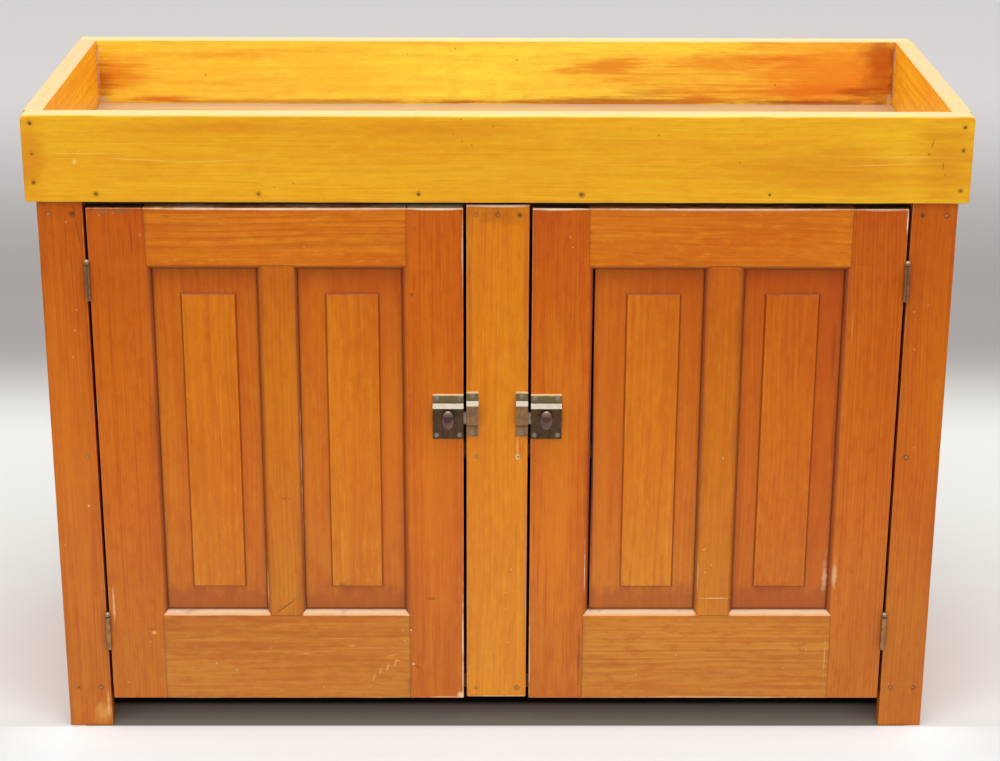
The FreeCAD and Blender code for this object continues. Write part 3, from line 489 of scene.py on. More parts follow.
def ring_faces(rings, points):
    """Quads between neighbouring closed rings of points."""
    ring = np.arange(rings - 1)[:, None] * points
    place = np.arange(points)[None, :]
    following = (place + 1) % points
    quads = np.stack([ring + place, ring + following, ring + points + following,
                      ring + points + place], axis=-1)
    return quads.reshape(-1, 4).tolist()


def end_inset(distance, radius):
    """How far a side draws in near a rounded end: radius - sqrt(radius² - (radius - distance)²)."""
    inside = np.clip(radius - distance, 0, radius)
    return radius - np.sqrt(radius ** 2 - inside ** 2)


def stations_along(length, radius, extra):
    """Places along a board: close together on its rounded ends and wherever something lies."""
    turn = np.linspace(0, np.pi / 2, ROUND_STEPS)
    rounding = radius * (1 - np.cos(turn))
    regular = np.linspace(radius, length - radius, max(2, int(length / STATION_PITCH)))
    places = np.concatenate([rounding, length - rounding, regular, extra])
    places = np.unique(np.round(places[(places >= 0) & (places <= length)], 6))
    keep = np.concatenate([[True], np.diff(places) > 1e-5])
    return places[keep]


@dataclass
class Section:
    """A board's cross-section: corners (across, in from the face) and the radius of each.

    Full corners give the directions of the sides; the function gives the corners at stations.
    """
    full: np.ndarray
    radii: np.ndarray
    corners: object


def plain_section(width, thickness, radius):
    """A rectangle; its first side is the face."""
    full = np.array([(0, 0), (width, 0), (width, thickness), (0, thickness)], float)
    return Section(full, np.full(4, radius),
                   lambda places: np.broadcast_to(full, (len(places), 4, 2)).copy())


def side_directions(section):
    """Unit directions of a section's sides, and their inward normals."""
    sides = np.roll(section.full, -1, axis=0) - section.full
    sides /= np.linalg.norm(sides, axis=1, keepdims=True)
    return sides, np.stack([-sides[:, 1], sides[:, 0]], axis=1)


def drawn_in(section, places, length, end_radii):
    """The section's corners at each station, its sides drawn in near the rounded ends.

    An end has one radius for all sides, or a radius for each.
    """
    _, normals = side_directions(section)
    before = np.roll(normals, 1, axis=0)
    corners = section.corners(places)
    near, far = (np.asarray(radii, float) for radii in end_radii)
    inset = np.maximum(end_inset(places[:, None], near[None, :]),
                       end_inset(length - places[:, None], far[None, :]))
    if inset.shape[1] == 1:
        shift = (before + normals) / (1 + (before * normals).sum(axis=1, keepdims=True))
        return corners + shift[None] * inset[:, :, None]
    previous = np.roll(inset, 1, axis=1)
    return corners + (before[None] * previous[:, :, None] + normals[None] * inset[:, :, None])


def worn_back(section, corners, places, seed):
    """How far each arris is worn back at each station: its radius with waves, kept in its sides."""
    lengths = np.linalg.norm(np.roll(corners, -1, axis=1) - corners, axis=2)
    room = ARRIS_ROOM * np.minimum(lengths, np.roll(lengths, 1, axis=1))
    uneven = sum(
        share * np.stack([smooth_waves(places, seed * step + corner, wave)
                          for corner in range(corners.shape[1])], axis=1)
        for step, wave, share in ARRIS_WAVES)
    return np.minimum(section.radii[None, :] * (1 + uneven), room)


def dented_face(corners, setback, places, dents):
    """Points across the face, sunk by depth·exp(-(r/radius)²) round each dent."""
    lines = np.concatenate([dent[1] + DENT_LINES * dent[2] for dent in dents])
    lines = np.unique(np.round(lines, 6))
    begin = corners[:, 0, 0] + setback[:, 0] * CLEAR_OF_ARRIS
    stop = corners[:, 1, 0] - setback[:, 1] * CLEAR_OF_ARRIS
    across = np.clip(lines[None, :], begin[:, None], stop[:, None])
    depth = np.broadcast_to(corners[:, 0, 1][:, None], across.shape).copy()
    for dent_along, dent_across, radius, sink in dents:
        apart = (places[:, None] - dent_along) ** 2 + (across - dent_across) ** 2
        depth += sink * np.exp(-apart / (DENT_BELL * radius) ** 2)
    return np.stack([across, depth], axis=-1)


def carve(name, place, section, end_radii, extra, dents, seed):
    """A board as a closed tube of cross-sections.

    Each corner is a curve P(u) = C - s·d0·(1-u)² + s·d1·u² between its two sides' directions,
    with a setback s that varies along the board as an old arris does.  Near the ends all sides
    draw in as a quarter circle.  Dents are (along, across, radius, depth) on the face.
    """
    length = place.size[0]
    reach = max(max(radii) for radii in end_radii)
    near_dents = [dent[0] + DENT_LINES * dent[2] for dent in dents]
    places = stations_along(length, reach, np.concatenate([np.asarray(extra), *near_dents]))
    corners = drawn_in(section, places, length, end_radii)
    setback = worn_back(section, corners, places, seed)
    after, _ = side_directions(section)
    before = np.roll(after, 1, axis=0)
    share = np.linspace(0, 1, ARRIS_STEPS)[:, None]
    parts = []
    for corner, radius in enumerate(section.radii):
        spot = corners[:, corner, None, :]
        if radius > 0:
            curve = after[corner] * share ** 2 - before[corner] * (1 - share) ** 2
            spot = spot + curve[None] * setback[:, corner, None, None]
        parts.append(spot)
        if corner == 0 and dents:
            parts.append(dented_face(corners, setback, places, dents))
    outline = np.concatenate(parts, axis=1)
    rings, points = outline.shape[:2]
    local = np.empty((rings, points, 3))
    local[..., 0] = places[:, None]
    local[..., 1:] = outline
    faces = ring_faces(rings, points)
    faces.append(list(range(points)))
    faces.append(list(range((rings - 1) * points, rings * points)))
    return build_mesh(name, place.world(local), faces)


# ---------------------------------------------------------------- wood

SEED_STEP = 3.17
RING_UNEVEN = 1.3
EDGE_BAND = 7 * MM
HALO_RADIUS = 4.2 * MM

# Factors that turn a board's colour into the others of its figure.
RED_TINT = (0.84, 0.64, 0.45)
YELLOW_TINT = (1.1, 1.3, 1.6)
DARK_TINT = (0.62, 0.42, 0.32)
PALE_LATEWOOD = (1.12, 1.42, 2.2)

# Noises drawn out along the grain: waves to a metre along it and across it, which way the
# board's seed moves them, detail and roughness.
NOISES = {
    "fibre": (9, 520, 1, 3.0, 0.6),
    "band": (1.6, 75, 1, 3.0, 0.65),
    "thread": (3.5, 190, -1, 3.0, 0.6),
    "mottle": (3.4, 17, 1, 3.0, 0.55),
    "cloud": (16, 34, 1, 2.0, 0.5),
    "rub": (60, 90, 1, 3.0, 0.6),
    "blot": (10, 75, -1, 4.0, 0.66),
    "dapple": (38, 105, 1, 3.0, 0.62),
}

# Layers of the figure: a noise, where its mask starts and ends, its share and its tint.
FIGURE_LAYERS = (
    ("band", 0.5, 0.74, 0.75, RED_TINT), ("band", 0.5, 0.28, 0.75, YELLOW_TINT),
    ("thread", 0.5, 0.68, 0.85, RED_TINT), ("thread", 0.46, 0.26, 0.65, YELLOW_TINT),
    ("blot", 0.54, 0.78, 0.6, RED_TINT),
    ("dapple", 0.5, 0.66, 0.75, RED_TINT), ("dapple", 0.48, 0.32, 0.6, YELLOW_TINT),
)

# Painted light: lower down the colour turns yellower and then greyer, standing in for a brighter
# middle height and the pale floor reflected in the varnish; between two heights in metres, and a
# tint that multiplies.
PAINTED_HAZE = ((0.74, 0.46, (1.06, 1.24, 0.68)), (0.42, 0.05, (0.85, 1.01, 2.9)))


class BoardGraph(Graph):
    """The node tree of one board, with the places and noises that its layers share.

    Crumbs are fine noise about zero, which makes the edges of dirt and wear ragged.
    """

    def __init__(self, name, place, coat):
        super().__init__(name)
        self.wood = bpy.context.scene.cabinet_wood
        self.place = place
        self.coat = coat
        self.seed = coat.seed * SEED_STEP
        self.spot = self.object_place()
        self.point = self.parts(self.spot)
        self.normal = self.facing()
        self.upward = self.step(self.normal[2], 0.3, 0.62)
        self.local = [(self.point[axis] - float(place.origin[axis])) * sign
                      for axis, sign in zip(place.axes, place.signs)]
        along, across, deep = self.local
        self.noises = {kind: self.drawn_out(*rates) for kind, rates in NOISES.items()}
        self.noises["hair"] = self.noise(
            self.vector(along * 45, across * 1900, deep * 1900 + self.seed), 1.0)
        self.noises["blush"] = self.noise(
            self.vector(along * 1.7 - self.seed, across * 8, self.seed), 2.0)
        self.crumbs = self.noises["rub"] + self.noises["cloud"] - 1

    def drawn_out(self, lengthwise, crosswise, way, detail, roughness):
        """Noise with so many waves to a metre along and across the grain."""
        along, across, deep = self.local
        return self.noise(self.vector(along * lengthwise + self.seed * way, across * crosswise,
                                      deep * crosswise), detail, roughness)

    def tinted(self, factors):
        """The board's colour times factors, kept within full light."""
        return np.minimum(np.array(self.coat.color) * factors, 1)


def growth_rings(board):
    """Latewood, 0 to 1: rings round a pith that leans, climbs and wanders behind the face."""
    along, across, deep = board.local
    length, width, _ = board.place.size
    figure = board.coat.figure
    seed = board.seed
    wander = board.noise(board.vector(along * 2.3 + seed, seed, 0.0), 1.0)
    stray = board.noise(board.vector(along * 3.1 - seed, 5.0, seed), 1.0)
    aside = across - (width / 2 + figure.pith_across) - along * figure.lean - wander * 0.03
    below = (deep + figure.pith_depth + (along - length / 2) * figure.climb
             + (stray - 0.5) * 0.02)
    ripple = board.noise(board.vector(along * 7 + seed, across * 40, deep * 40), 2.0)
    radius = board.math("SQRT", aside * aside + below * below) + (ripple - 0.5) * 0.005
    uneven = board.noise(board.vector(radius * 70, seed, 0.0), 2.0)
    phase = radius / figure.ring + uneven * RING_UNEVEN
    share = board.math("FRACT", phase)
    number = board.math("FLOOR", phase)
    year = board.add("ShaderNodeTexWhiteNoise", {"noise_dimensions": "1D"}, {"W": number + seed})
    late = board.step(share, 0.35, 0.88) * board.step(share, 0.9, 1.0, 1.0, 0.0)
    late = late * (year * 0.8 + 0.2) * figure.contrast
    if figure.shown_from:
        late = late * board.step(along, *figure.shown_from)
    return late * board.step(board.noises["mottle"], 0.3, 0.62, 0.45, 1.0)


def lay_figure(board, late, streak):
    """The board's colour, wandering between red and yellow, with its latewood and fibres."""
    warm = board.coat.warm
    calm = np.array(board.coat.color) * (1 - warm)
    board.color = board.blend(board.step(board.noises["blush"], 0.32, 0.68),
                              board.tinted(RED_TINT) * warm + calm,
                              board.tinted(YELLOW_TINT) * warm + calm)
    for name, start, end, share, tint in FIGURE_LAYERS:
        board.lay(board.step(board.noises[name], start, end) * share * warm, board.tinted(tint))
    dark = board.tinted(DARK_TINT)
    board.lay(late, board.tinted(PALE_LATEWOOD) if board.coat.figure.pale else dark)
    board.lay(streak * 0.22, dark)
    board.lay(board.step(board.noises["mottle"], 0.56, 0.8) * 0.5 * warm,
              board.tinted(RED_TINT) * 0.85)
    board.lay(board.step(board.noises["hair"], 0.62, 0.8) * 0.14, dark)
    board.lay(board.step(board.noises["cloud"], 0.55, 0.75) * 0.16, board.tinted(YELLOW_TINT))


def edge_distance(graph, parts, sizes):
    """Distance to the nearest edge of a box: the middle one of the distances to its faces."""
    gaps = [graph.lowest(part, float(size) - part) for part, size in zip(parts, sizes)]
    smaller = graph.lowest(gaps[0], gaps[1])
    larger = graph.highest(gaps[0], gaps[1])
    return graph.highest(smaller, graph.lowest(larger, gaps[2]))


def lay_dirt_and_wear(board):
    """Dirt along the board's own edges, dark joints and bare arrises; returns how worn it is."""
    coat = board.coat
    mottle, cloud = board.noises["mottle"], board.noises["cloud"]
    fray = board.noises["rub"] - 0.5
    own_edge = edge_distance(board, board.local, board.place.size)
    edge = own_edge
    if coat.wear_box:
        low, high = coat.wear_box
        outer = [part - float(start) for part, start in zip(board.point, low)]
        edge = edge_distance(board, outer, high - low)
    dirt = (board.step(own_edge, EDGE_BAND, 0.0)
            * board.step(mottle + (cloud - 0.5) * 0.6, 0.38, 0.75))
    board.lay(dirt * coat.grime * 0.5, board.wood.grime)
    if coat.joint:
        along = board.local[0]
        ends = board.lowest(along, board.place.size[0] - along)
        board.lay(board.step(ends + fray * 0.001, 0.0015, 0.0004) * coat.joint, board.wood.grime)
    patchy = board.step(mottle + cloud, 0.85, 1.25) * 0.9 + 0.1
    worn = board.step(edge + fray * 0.003, 0.0015, 0.0003) * coat.wear * patchy
    board.lay(worn, board.wood.bare)
    return worn


def lay_ledges(board):
    """What lies on faces that look up: bleached rims, a door's top darkened by dirt and painted
    shade, its crest worn pale with a painted highlight, and a pinkish painted glare at the back of
    the tray floor.
    """
    coat = board.coat
    deep = board.local[2]
    if coat.ledge:
        rubbed = board.step(board.noises["rub"], 0.25, 0.6) * 0.5 + 0.5
        board.lay(board.upward * rubbed * coat.ledge, coat.ledge_color)
    if coat.crest:
        # Dirt and painted shade on the top face behind the arris.
        top_shade_and_dirt = board.step(board.normal[2], 0.9, 0.97) * board.step(deep, 0.001, 0.0025)
        board.lay(top_shade_and_dirt * 0.9, coat.top_shade_and_dirt or board.wood.top_shade_and_dirt)
        # The crest: worn wood, and a painted highlight on the arris that looks up.
        crest = board.upward * board.step(deep + board.crumbs * 0.002, 0.0036, 0.0022)
        board.lay(crest * coat.crest, CREAM)
    # Painted glare: a pinkish strip along the back of the tray floor.
    if coat.back_glare:
        glared = board.step(board.point[1] + board.crumbs * 0.01, coat.back_glare - 0.004,
                           coat.back_glare + 0.004)
        board.lay(glared * 0.9, board.wood.back_glare)


def lay_marks(board):
    """A dark halo round each nail, and the board's own stains, scratches and chips."""
    noises = board.noises
    for head in board.coat.halos:
        middle = tuple(board.place.world(np.array((*head, 0.0))))
        near = board.reach(board.spot, middle, (HALO_RADIUS,) * 3)
        board.lay(board.step(near + board.crumbs * 1.6, 1.3, 0.3, 0.0, 0.5), board.wood.grime)
    forward = board.step(board.normal[1], -0.3, -0.6)
    drift = (noises["blot"] * 0.9 + noises["fibre"] * 0.5 + noises["thread"] * 0.6 - 1) * 2.4
    for mark in board.coat.marks:
        near = board.reach(board.spot, (mark.x * MM, 0, mark.z * MM),
                           (mark.half_x * MM, 1e3, mark.half_z * MM), math.radians(mark.turn))
        rough = drift if mark.stain else board.crumbs * 1.6
        shown = board.step(near + rough * mark.ragged, 1.3, 0.2, 0.0, mark.strength)
        board.lay(shown * forward, mark.color)


def pine(name, place, coat):
    """Varnished pine: its figure, and over it painted haze, dirt, wear, dust, painted light and
    shade, and marks.
    """
    board = BoardGraph(name, place, coat)
    late = growth_rings(board)
    streak = board.step(board.noises["fibre"], 0.34, 0.72)
    lay_figure(board, late, streak)
    if coat.field:
        lay_panel_shade(board)
    # Painted light: the colour turns yellower and greyer toward the floor.
    if coat.fade:
        for top, foot, tint in PAINTED_HAZE:
            board.lay(board.step(board.point[2], top, foot) * coat.fade, tint, "MULTIPLY")
    worn = lay_dirt_and_wear(board)
    if coat.behind is not None:
        board.lay(board.step(board.normal[1], 0.4, 0.8) * 0.8, coat.behind)
    end_grain = board.step(board.math("ABSOLUTE", board.normal[place.axes[0]]), 0.6, 0.9)
    board.lay(end_grain * 0.45, board.tinted(DARK_TINT))
    lay_ledges(board)
    if coat.moulded:
        lay_moulding_shade(board)
    lay_marks(board)

    gloss = board.wood.gloss if coat.gloss is None else coat.gloss
    roughness = (board.noises["mottle"] - 0.5) * 0.16 + worn * 0.25 + end_grain * 0.2 + gloss
    height = late - streak * 0.35 - board.step(board.noises["hair"], 0.55, 0.85) * 0.3
    return board.surface(
        Base_Color=board.color, Roughness=roughness, Normal=board.bump(height, 0.00012, 0.6),
        Specular_IOR_Level=0.32)


def inside_distance(board, outline):
    """Distance inside an upright (low x, high x, low z, high z) outline; negative outside."""
    low_x, high_x, low_z, high_z = (float(edge) for edge in outline)
    x, _, z = board.point
    return board.lowest(x - low_x, high_x - x, z - low_z, high_z - z)


def lay_panel_shade(board):
    """Painted shade on a panel: it darkens toward its opening's edge and top, where the frame would
    shade it, and along its field's step, dirt and painted shade together.

    A painted highlight pales the step's upper side, where it catches the light.
    """
    fray = board.noises["rub"] - 0.5
    height = board.point[2]
    _, _, foot, head = (float(edge) for edge in board.coat.opening)
    field = inside_distance(board, board.coat.field)
    board.lay(board.step(field, 0.002, -0.001) * 0.36, board.wood.margin)
    # Painted shade under the top rail.
    board.lay(board.step(head - height, 0.045, 0.01) * 0.18, board.wood.margin)
    over_rail = board.step(height - foot + board.crumbs * 0.05, 0.042, 0.018)
    board.lay(over_rail * 0.62, np.array(board.wood.margin) * (0.8, 1.0, 1.0))
    # Dirt and painted shade along the field's step.
    step_dirt_and_shade = board.step(board.math("ABSOLUTE", field + fray * 0.0008), 0.002, 0.0003)
    board.lay(step_dirt_and_shade * 0.55, board.wood.groove)
    # A painted highlight on the step's upper side.
    shine = board.step(board.normal[2], 0.25, 0.5) * board.step(board.noises["rub"], 0.3, 0.6)
    board.lay(shine * 0.12, board.wood.ledge)
    # Painted shade along the opening's edge, and a dark line at it in the grime colour.
    rim = inside_distance(board, board.coat.opening) + fray * 0.001
    board.lay(board.step(rim, 0.006, 0.0) * 0.24, board.wood.groove)
    board.lay(board.step(rim, 0.0022, 0.0008) * 0.6, board.wood.grime)


def lay_moulding_shade(board):
    """Edges toward a panel: painted shade darkens them where they face sideways; where they face up,
    a pale painted highlight is mixed with dust, and they are darker deeper in.
    """
    _, across, deep = board.local
    crumbs = board.crumbs
    past = board.highest(across - board.place.size[1], 0.0 - across)
    # Painted shade on the sides of the moulding.
    side_shade = board.step(past, 0.0016, 0.0048) * board.step(board.normal[2], 0.3, 0.1)
    board.lay(side_shade * 0.66, board.wood.groove)
    # A pale painted highlight where the moulding faces up, with patches of dust; darker deeper in.
    tint = board.blend(board.step(past + crumbs * 0.003, 0.0006, 0.0034),
                       board.wood.lip, board.wood.ledge)
    tint = board.blend(board.step(crumbs, 0.05, 0.35) * 0.45, tint, board.wood.dust)
    tint = board.blend(board.step(deep + crumbs * 0.004, 0.0045, 0.0085) * 0.65,
                       tint, board.wood.dust)
    board.lay(board.upward * board.step(past + crumbs * 0.003, -0.0006, 0.0004), tint)


# ---------------------------------------------------------------- boards in place of CAD nodes

def dress(piece, node_name, material):
    """A made piece rides on its node's body, hides the node and takes its slot."""
    node = NODES[node_name]
    piece.data.materials.append(material)
    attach(piece, node["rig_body"])
    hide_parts(node_name)
    return piece


def solid_boxes(node_name):
    """Lowest and highest corners of each loose solid of a CAD node, as an array (n, 2, 3).

    Triangles that share a point get the same label: each pass gives all three points of a
    triangle their lowest label, until nothing changes.
    """
    mesh = NODES[node_name].data
    points = np.empty(len(mesh.vertices) * 3)
    mesh.vertices.foreach_get("co", points)
    points = points.reshape(-1, 3)
    mesh.calc_loop_triangles()
    triangles = np.empty(len(mesh.loop_triangles) * 3, dtype=int)
    mesh.loop_triangles.foreach_get("vertices", triangles)
    unique, index = np.unique(np.round(points, 6), axis=0, return_inverse=True)
    triangles = index.reshape(-1)[triangles.reshape(-1, 3)]
    labels = np.arange(len(unique))
    while True:
        lowest = labels[triangles].min(axis=1)
        updated = labels.copy()
        for corner in range(3):
            np.minimum.at(updated, triangles[:, corner], lowest)
        if (updated == labels).all():
            break
        labels = updated
    return np.array([(unique[labels == label].min(axis=0), unique[labels == label].max(axis=0))
                     for label in np.unique(labels)])


NAIL_BOXES = {name: solid_boxes(name) for name in ("tray_nails", "case_nails", "back_nails")}
SHORTEST_NAIL = 15 * MM
DENT_RADIUS = 4.2 * MM
DENT_DEPTH = 0.75 * MM


def nails_on(place):
    """Heads in a board's face: (along, across) of each nail whose head lies in the face."""
    heads = []
    for boxes in NAIL_BOXES.values():
        local = np.sort(np.stack([place.local(boxes[:, 0]), place.local(boxes[:, 1])], axis=1),
                        axis=1)
        middle = local.mean(axis=1)
        on_face = np.abs(local[:, 0, 2]) < 0.2 * MM
        sunk = local[:, 1, 2] - local[:, 0, 2] > SHORTEST_NAIL
        inside = ((middle[:, :2] > 0) & (middle[:, :2] < np.array(place.size[:2]))).all(axis=1)
        heads.extend(middle[on_face & sunk & inside][:, :2].tolist())
    return heads


def node_lie(node_name, grain, face):
    """The lie of the board that fills a node's box."""
    low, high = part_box(node_name)
    return lie(low, high, grain, face)


def make_board(node_name, grain, face, coat, end_radii=None, section=None, place=None,
               top_radii=None, extra=()):
    """A board in place of a CAD node, with a dent round each nail and its own pine.

    Top radii are other radii for the upper edge's front and back, and extra are stations.
    """
    arris = bpy.context.scene.cabinet_wood.arris
    place = place or node_lie(node_name, grain, face)
    section = section or plain_section(place.size[1], place.size[2], arris)
    if top_radii:
        section.radii[1:3] = top_radii
    coat.marks = sum(MARKS.get(node_name, ()), ())
    coat.halos = nails_on(place)
    dents = [(*head, DENT_RADIUS, DENT_DEPTH) for head in coat.halos]
    piece = carve(f"{node_name}_wood", place, section, end_radii or ((arris,), (arris,)), extra,
                  dents, coat.seed + 1)
    return dress(piece, node_name, pine(f"{node_name}_pine", place, coat))


def sawn(seed, ring=0.0042, contrast=0.5, spread=0.16, deep=0.06, climb=0.03):
    """A figure chosen by a seed: which side the pith lay on and how the grain runs out.

    Spread and deep are about how far the pith lies aside and behind, in metres.
    """
    random = np.random.default_rng(seed)
    side = random.choice((-1, 1))
    return Figure(
        pith_across=side * random.uniform(0.35, 1.0) * spread,
        pith_depth=deep * random.uniform(0.7, 1.6),
        lean=random.uniform(-0.03, 0.03), climb=random.uniform(-1, 1) * climb,
        ring=ring * random.uniform(0.8, 1.3), contrast=contrast)


def sawn_coat(color, seed, figure, **looks):
    """A coat and a figure from one seed; figure holds the numbers that sawn takes."""
    return Coat(color, sawn(seed, *figure), seed, **looks)


# ---------------------------------------------------------------- stains, chips and scratches

BARE = linear(240, 205, 160)
CREAM = linear(250, 222, 190)
DARK = linear(110, 52, 16)
DEEP_RED = linear(158, 58, 12)
ORANGE = linear(214, 116, 18)
PALE = linear(232, 172, 104)
GREY = linear(196, 186, 172)
GAP_SHADOW = linear(26, 15, 8)
OLIVE = linear(128, 112, 70)
STRAW = linear(252, 204, 96)
SCARLET = linear(190, 50, 14)


# Height of the doors' upper arris, in millimetres as in every mark.
CREST_HEIGHT = 751.0


def marks(color, ragged, *rows, stain=False):
    """Marks of one colour: rows of x, z, half x, half z, strength and, if it leans, turn."""
    return tuple(Mark(*row[:4], color, *row[4:], ragged=ragged, stain=stain) for row in rows)


def stains(color, ragged, *rows):
    """Marks that spread along the grain."""
    return marks(color, ragged, *rows, stain=True)


def specks(color, half, strength, *places):
    """Small round marks at (x, z) places."""
    return tuple(Mark(x, z, half, half, color, strength) for x, z in places)


def door_crest(first, last, strength=0.95):
    """The upper arris of a door from one x to another: worn wood with a painted highlight."""
    return marks(CREAM, 0.35, ((first + last) / 2, CREST_HEIGHT, (last - first) / 2, 1.9, strength))


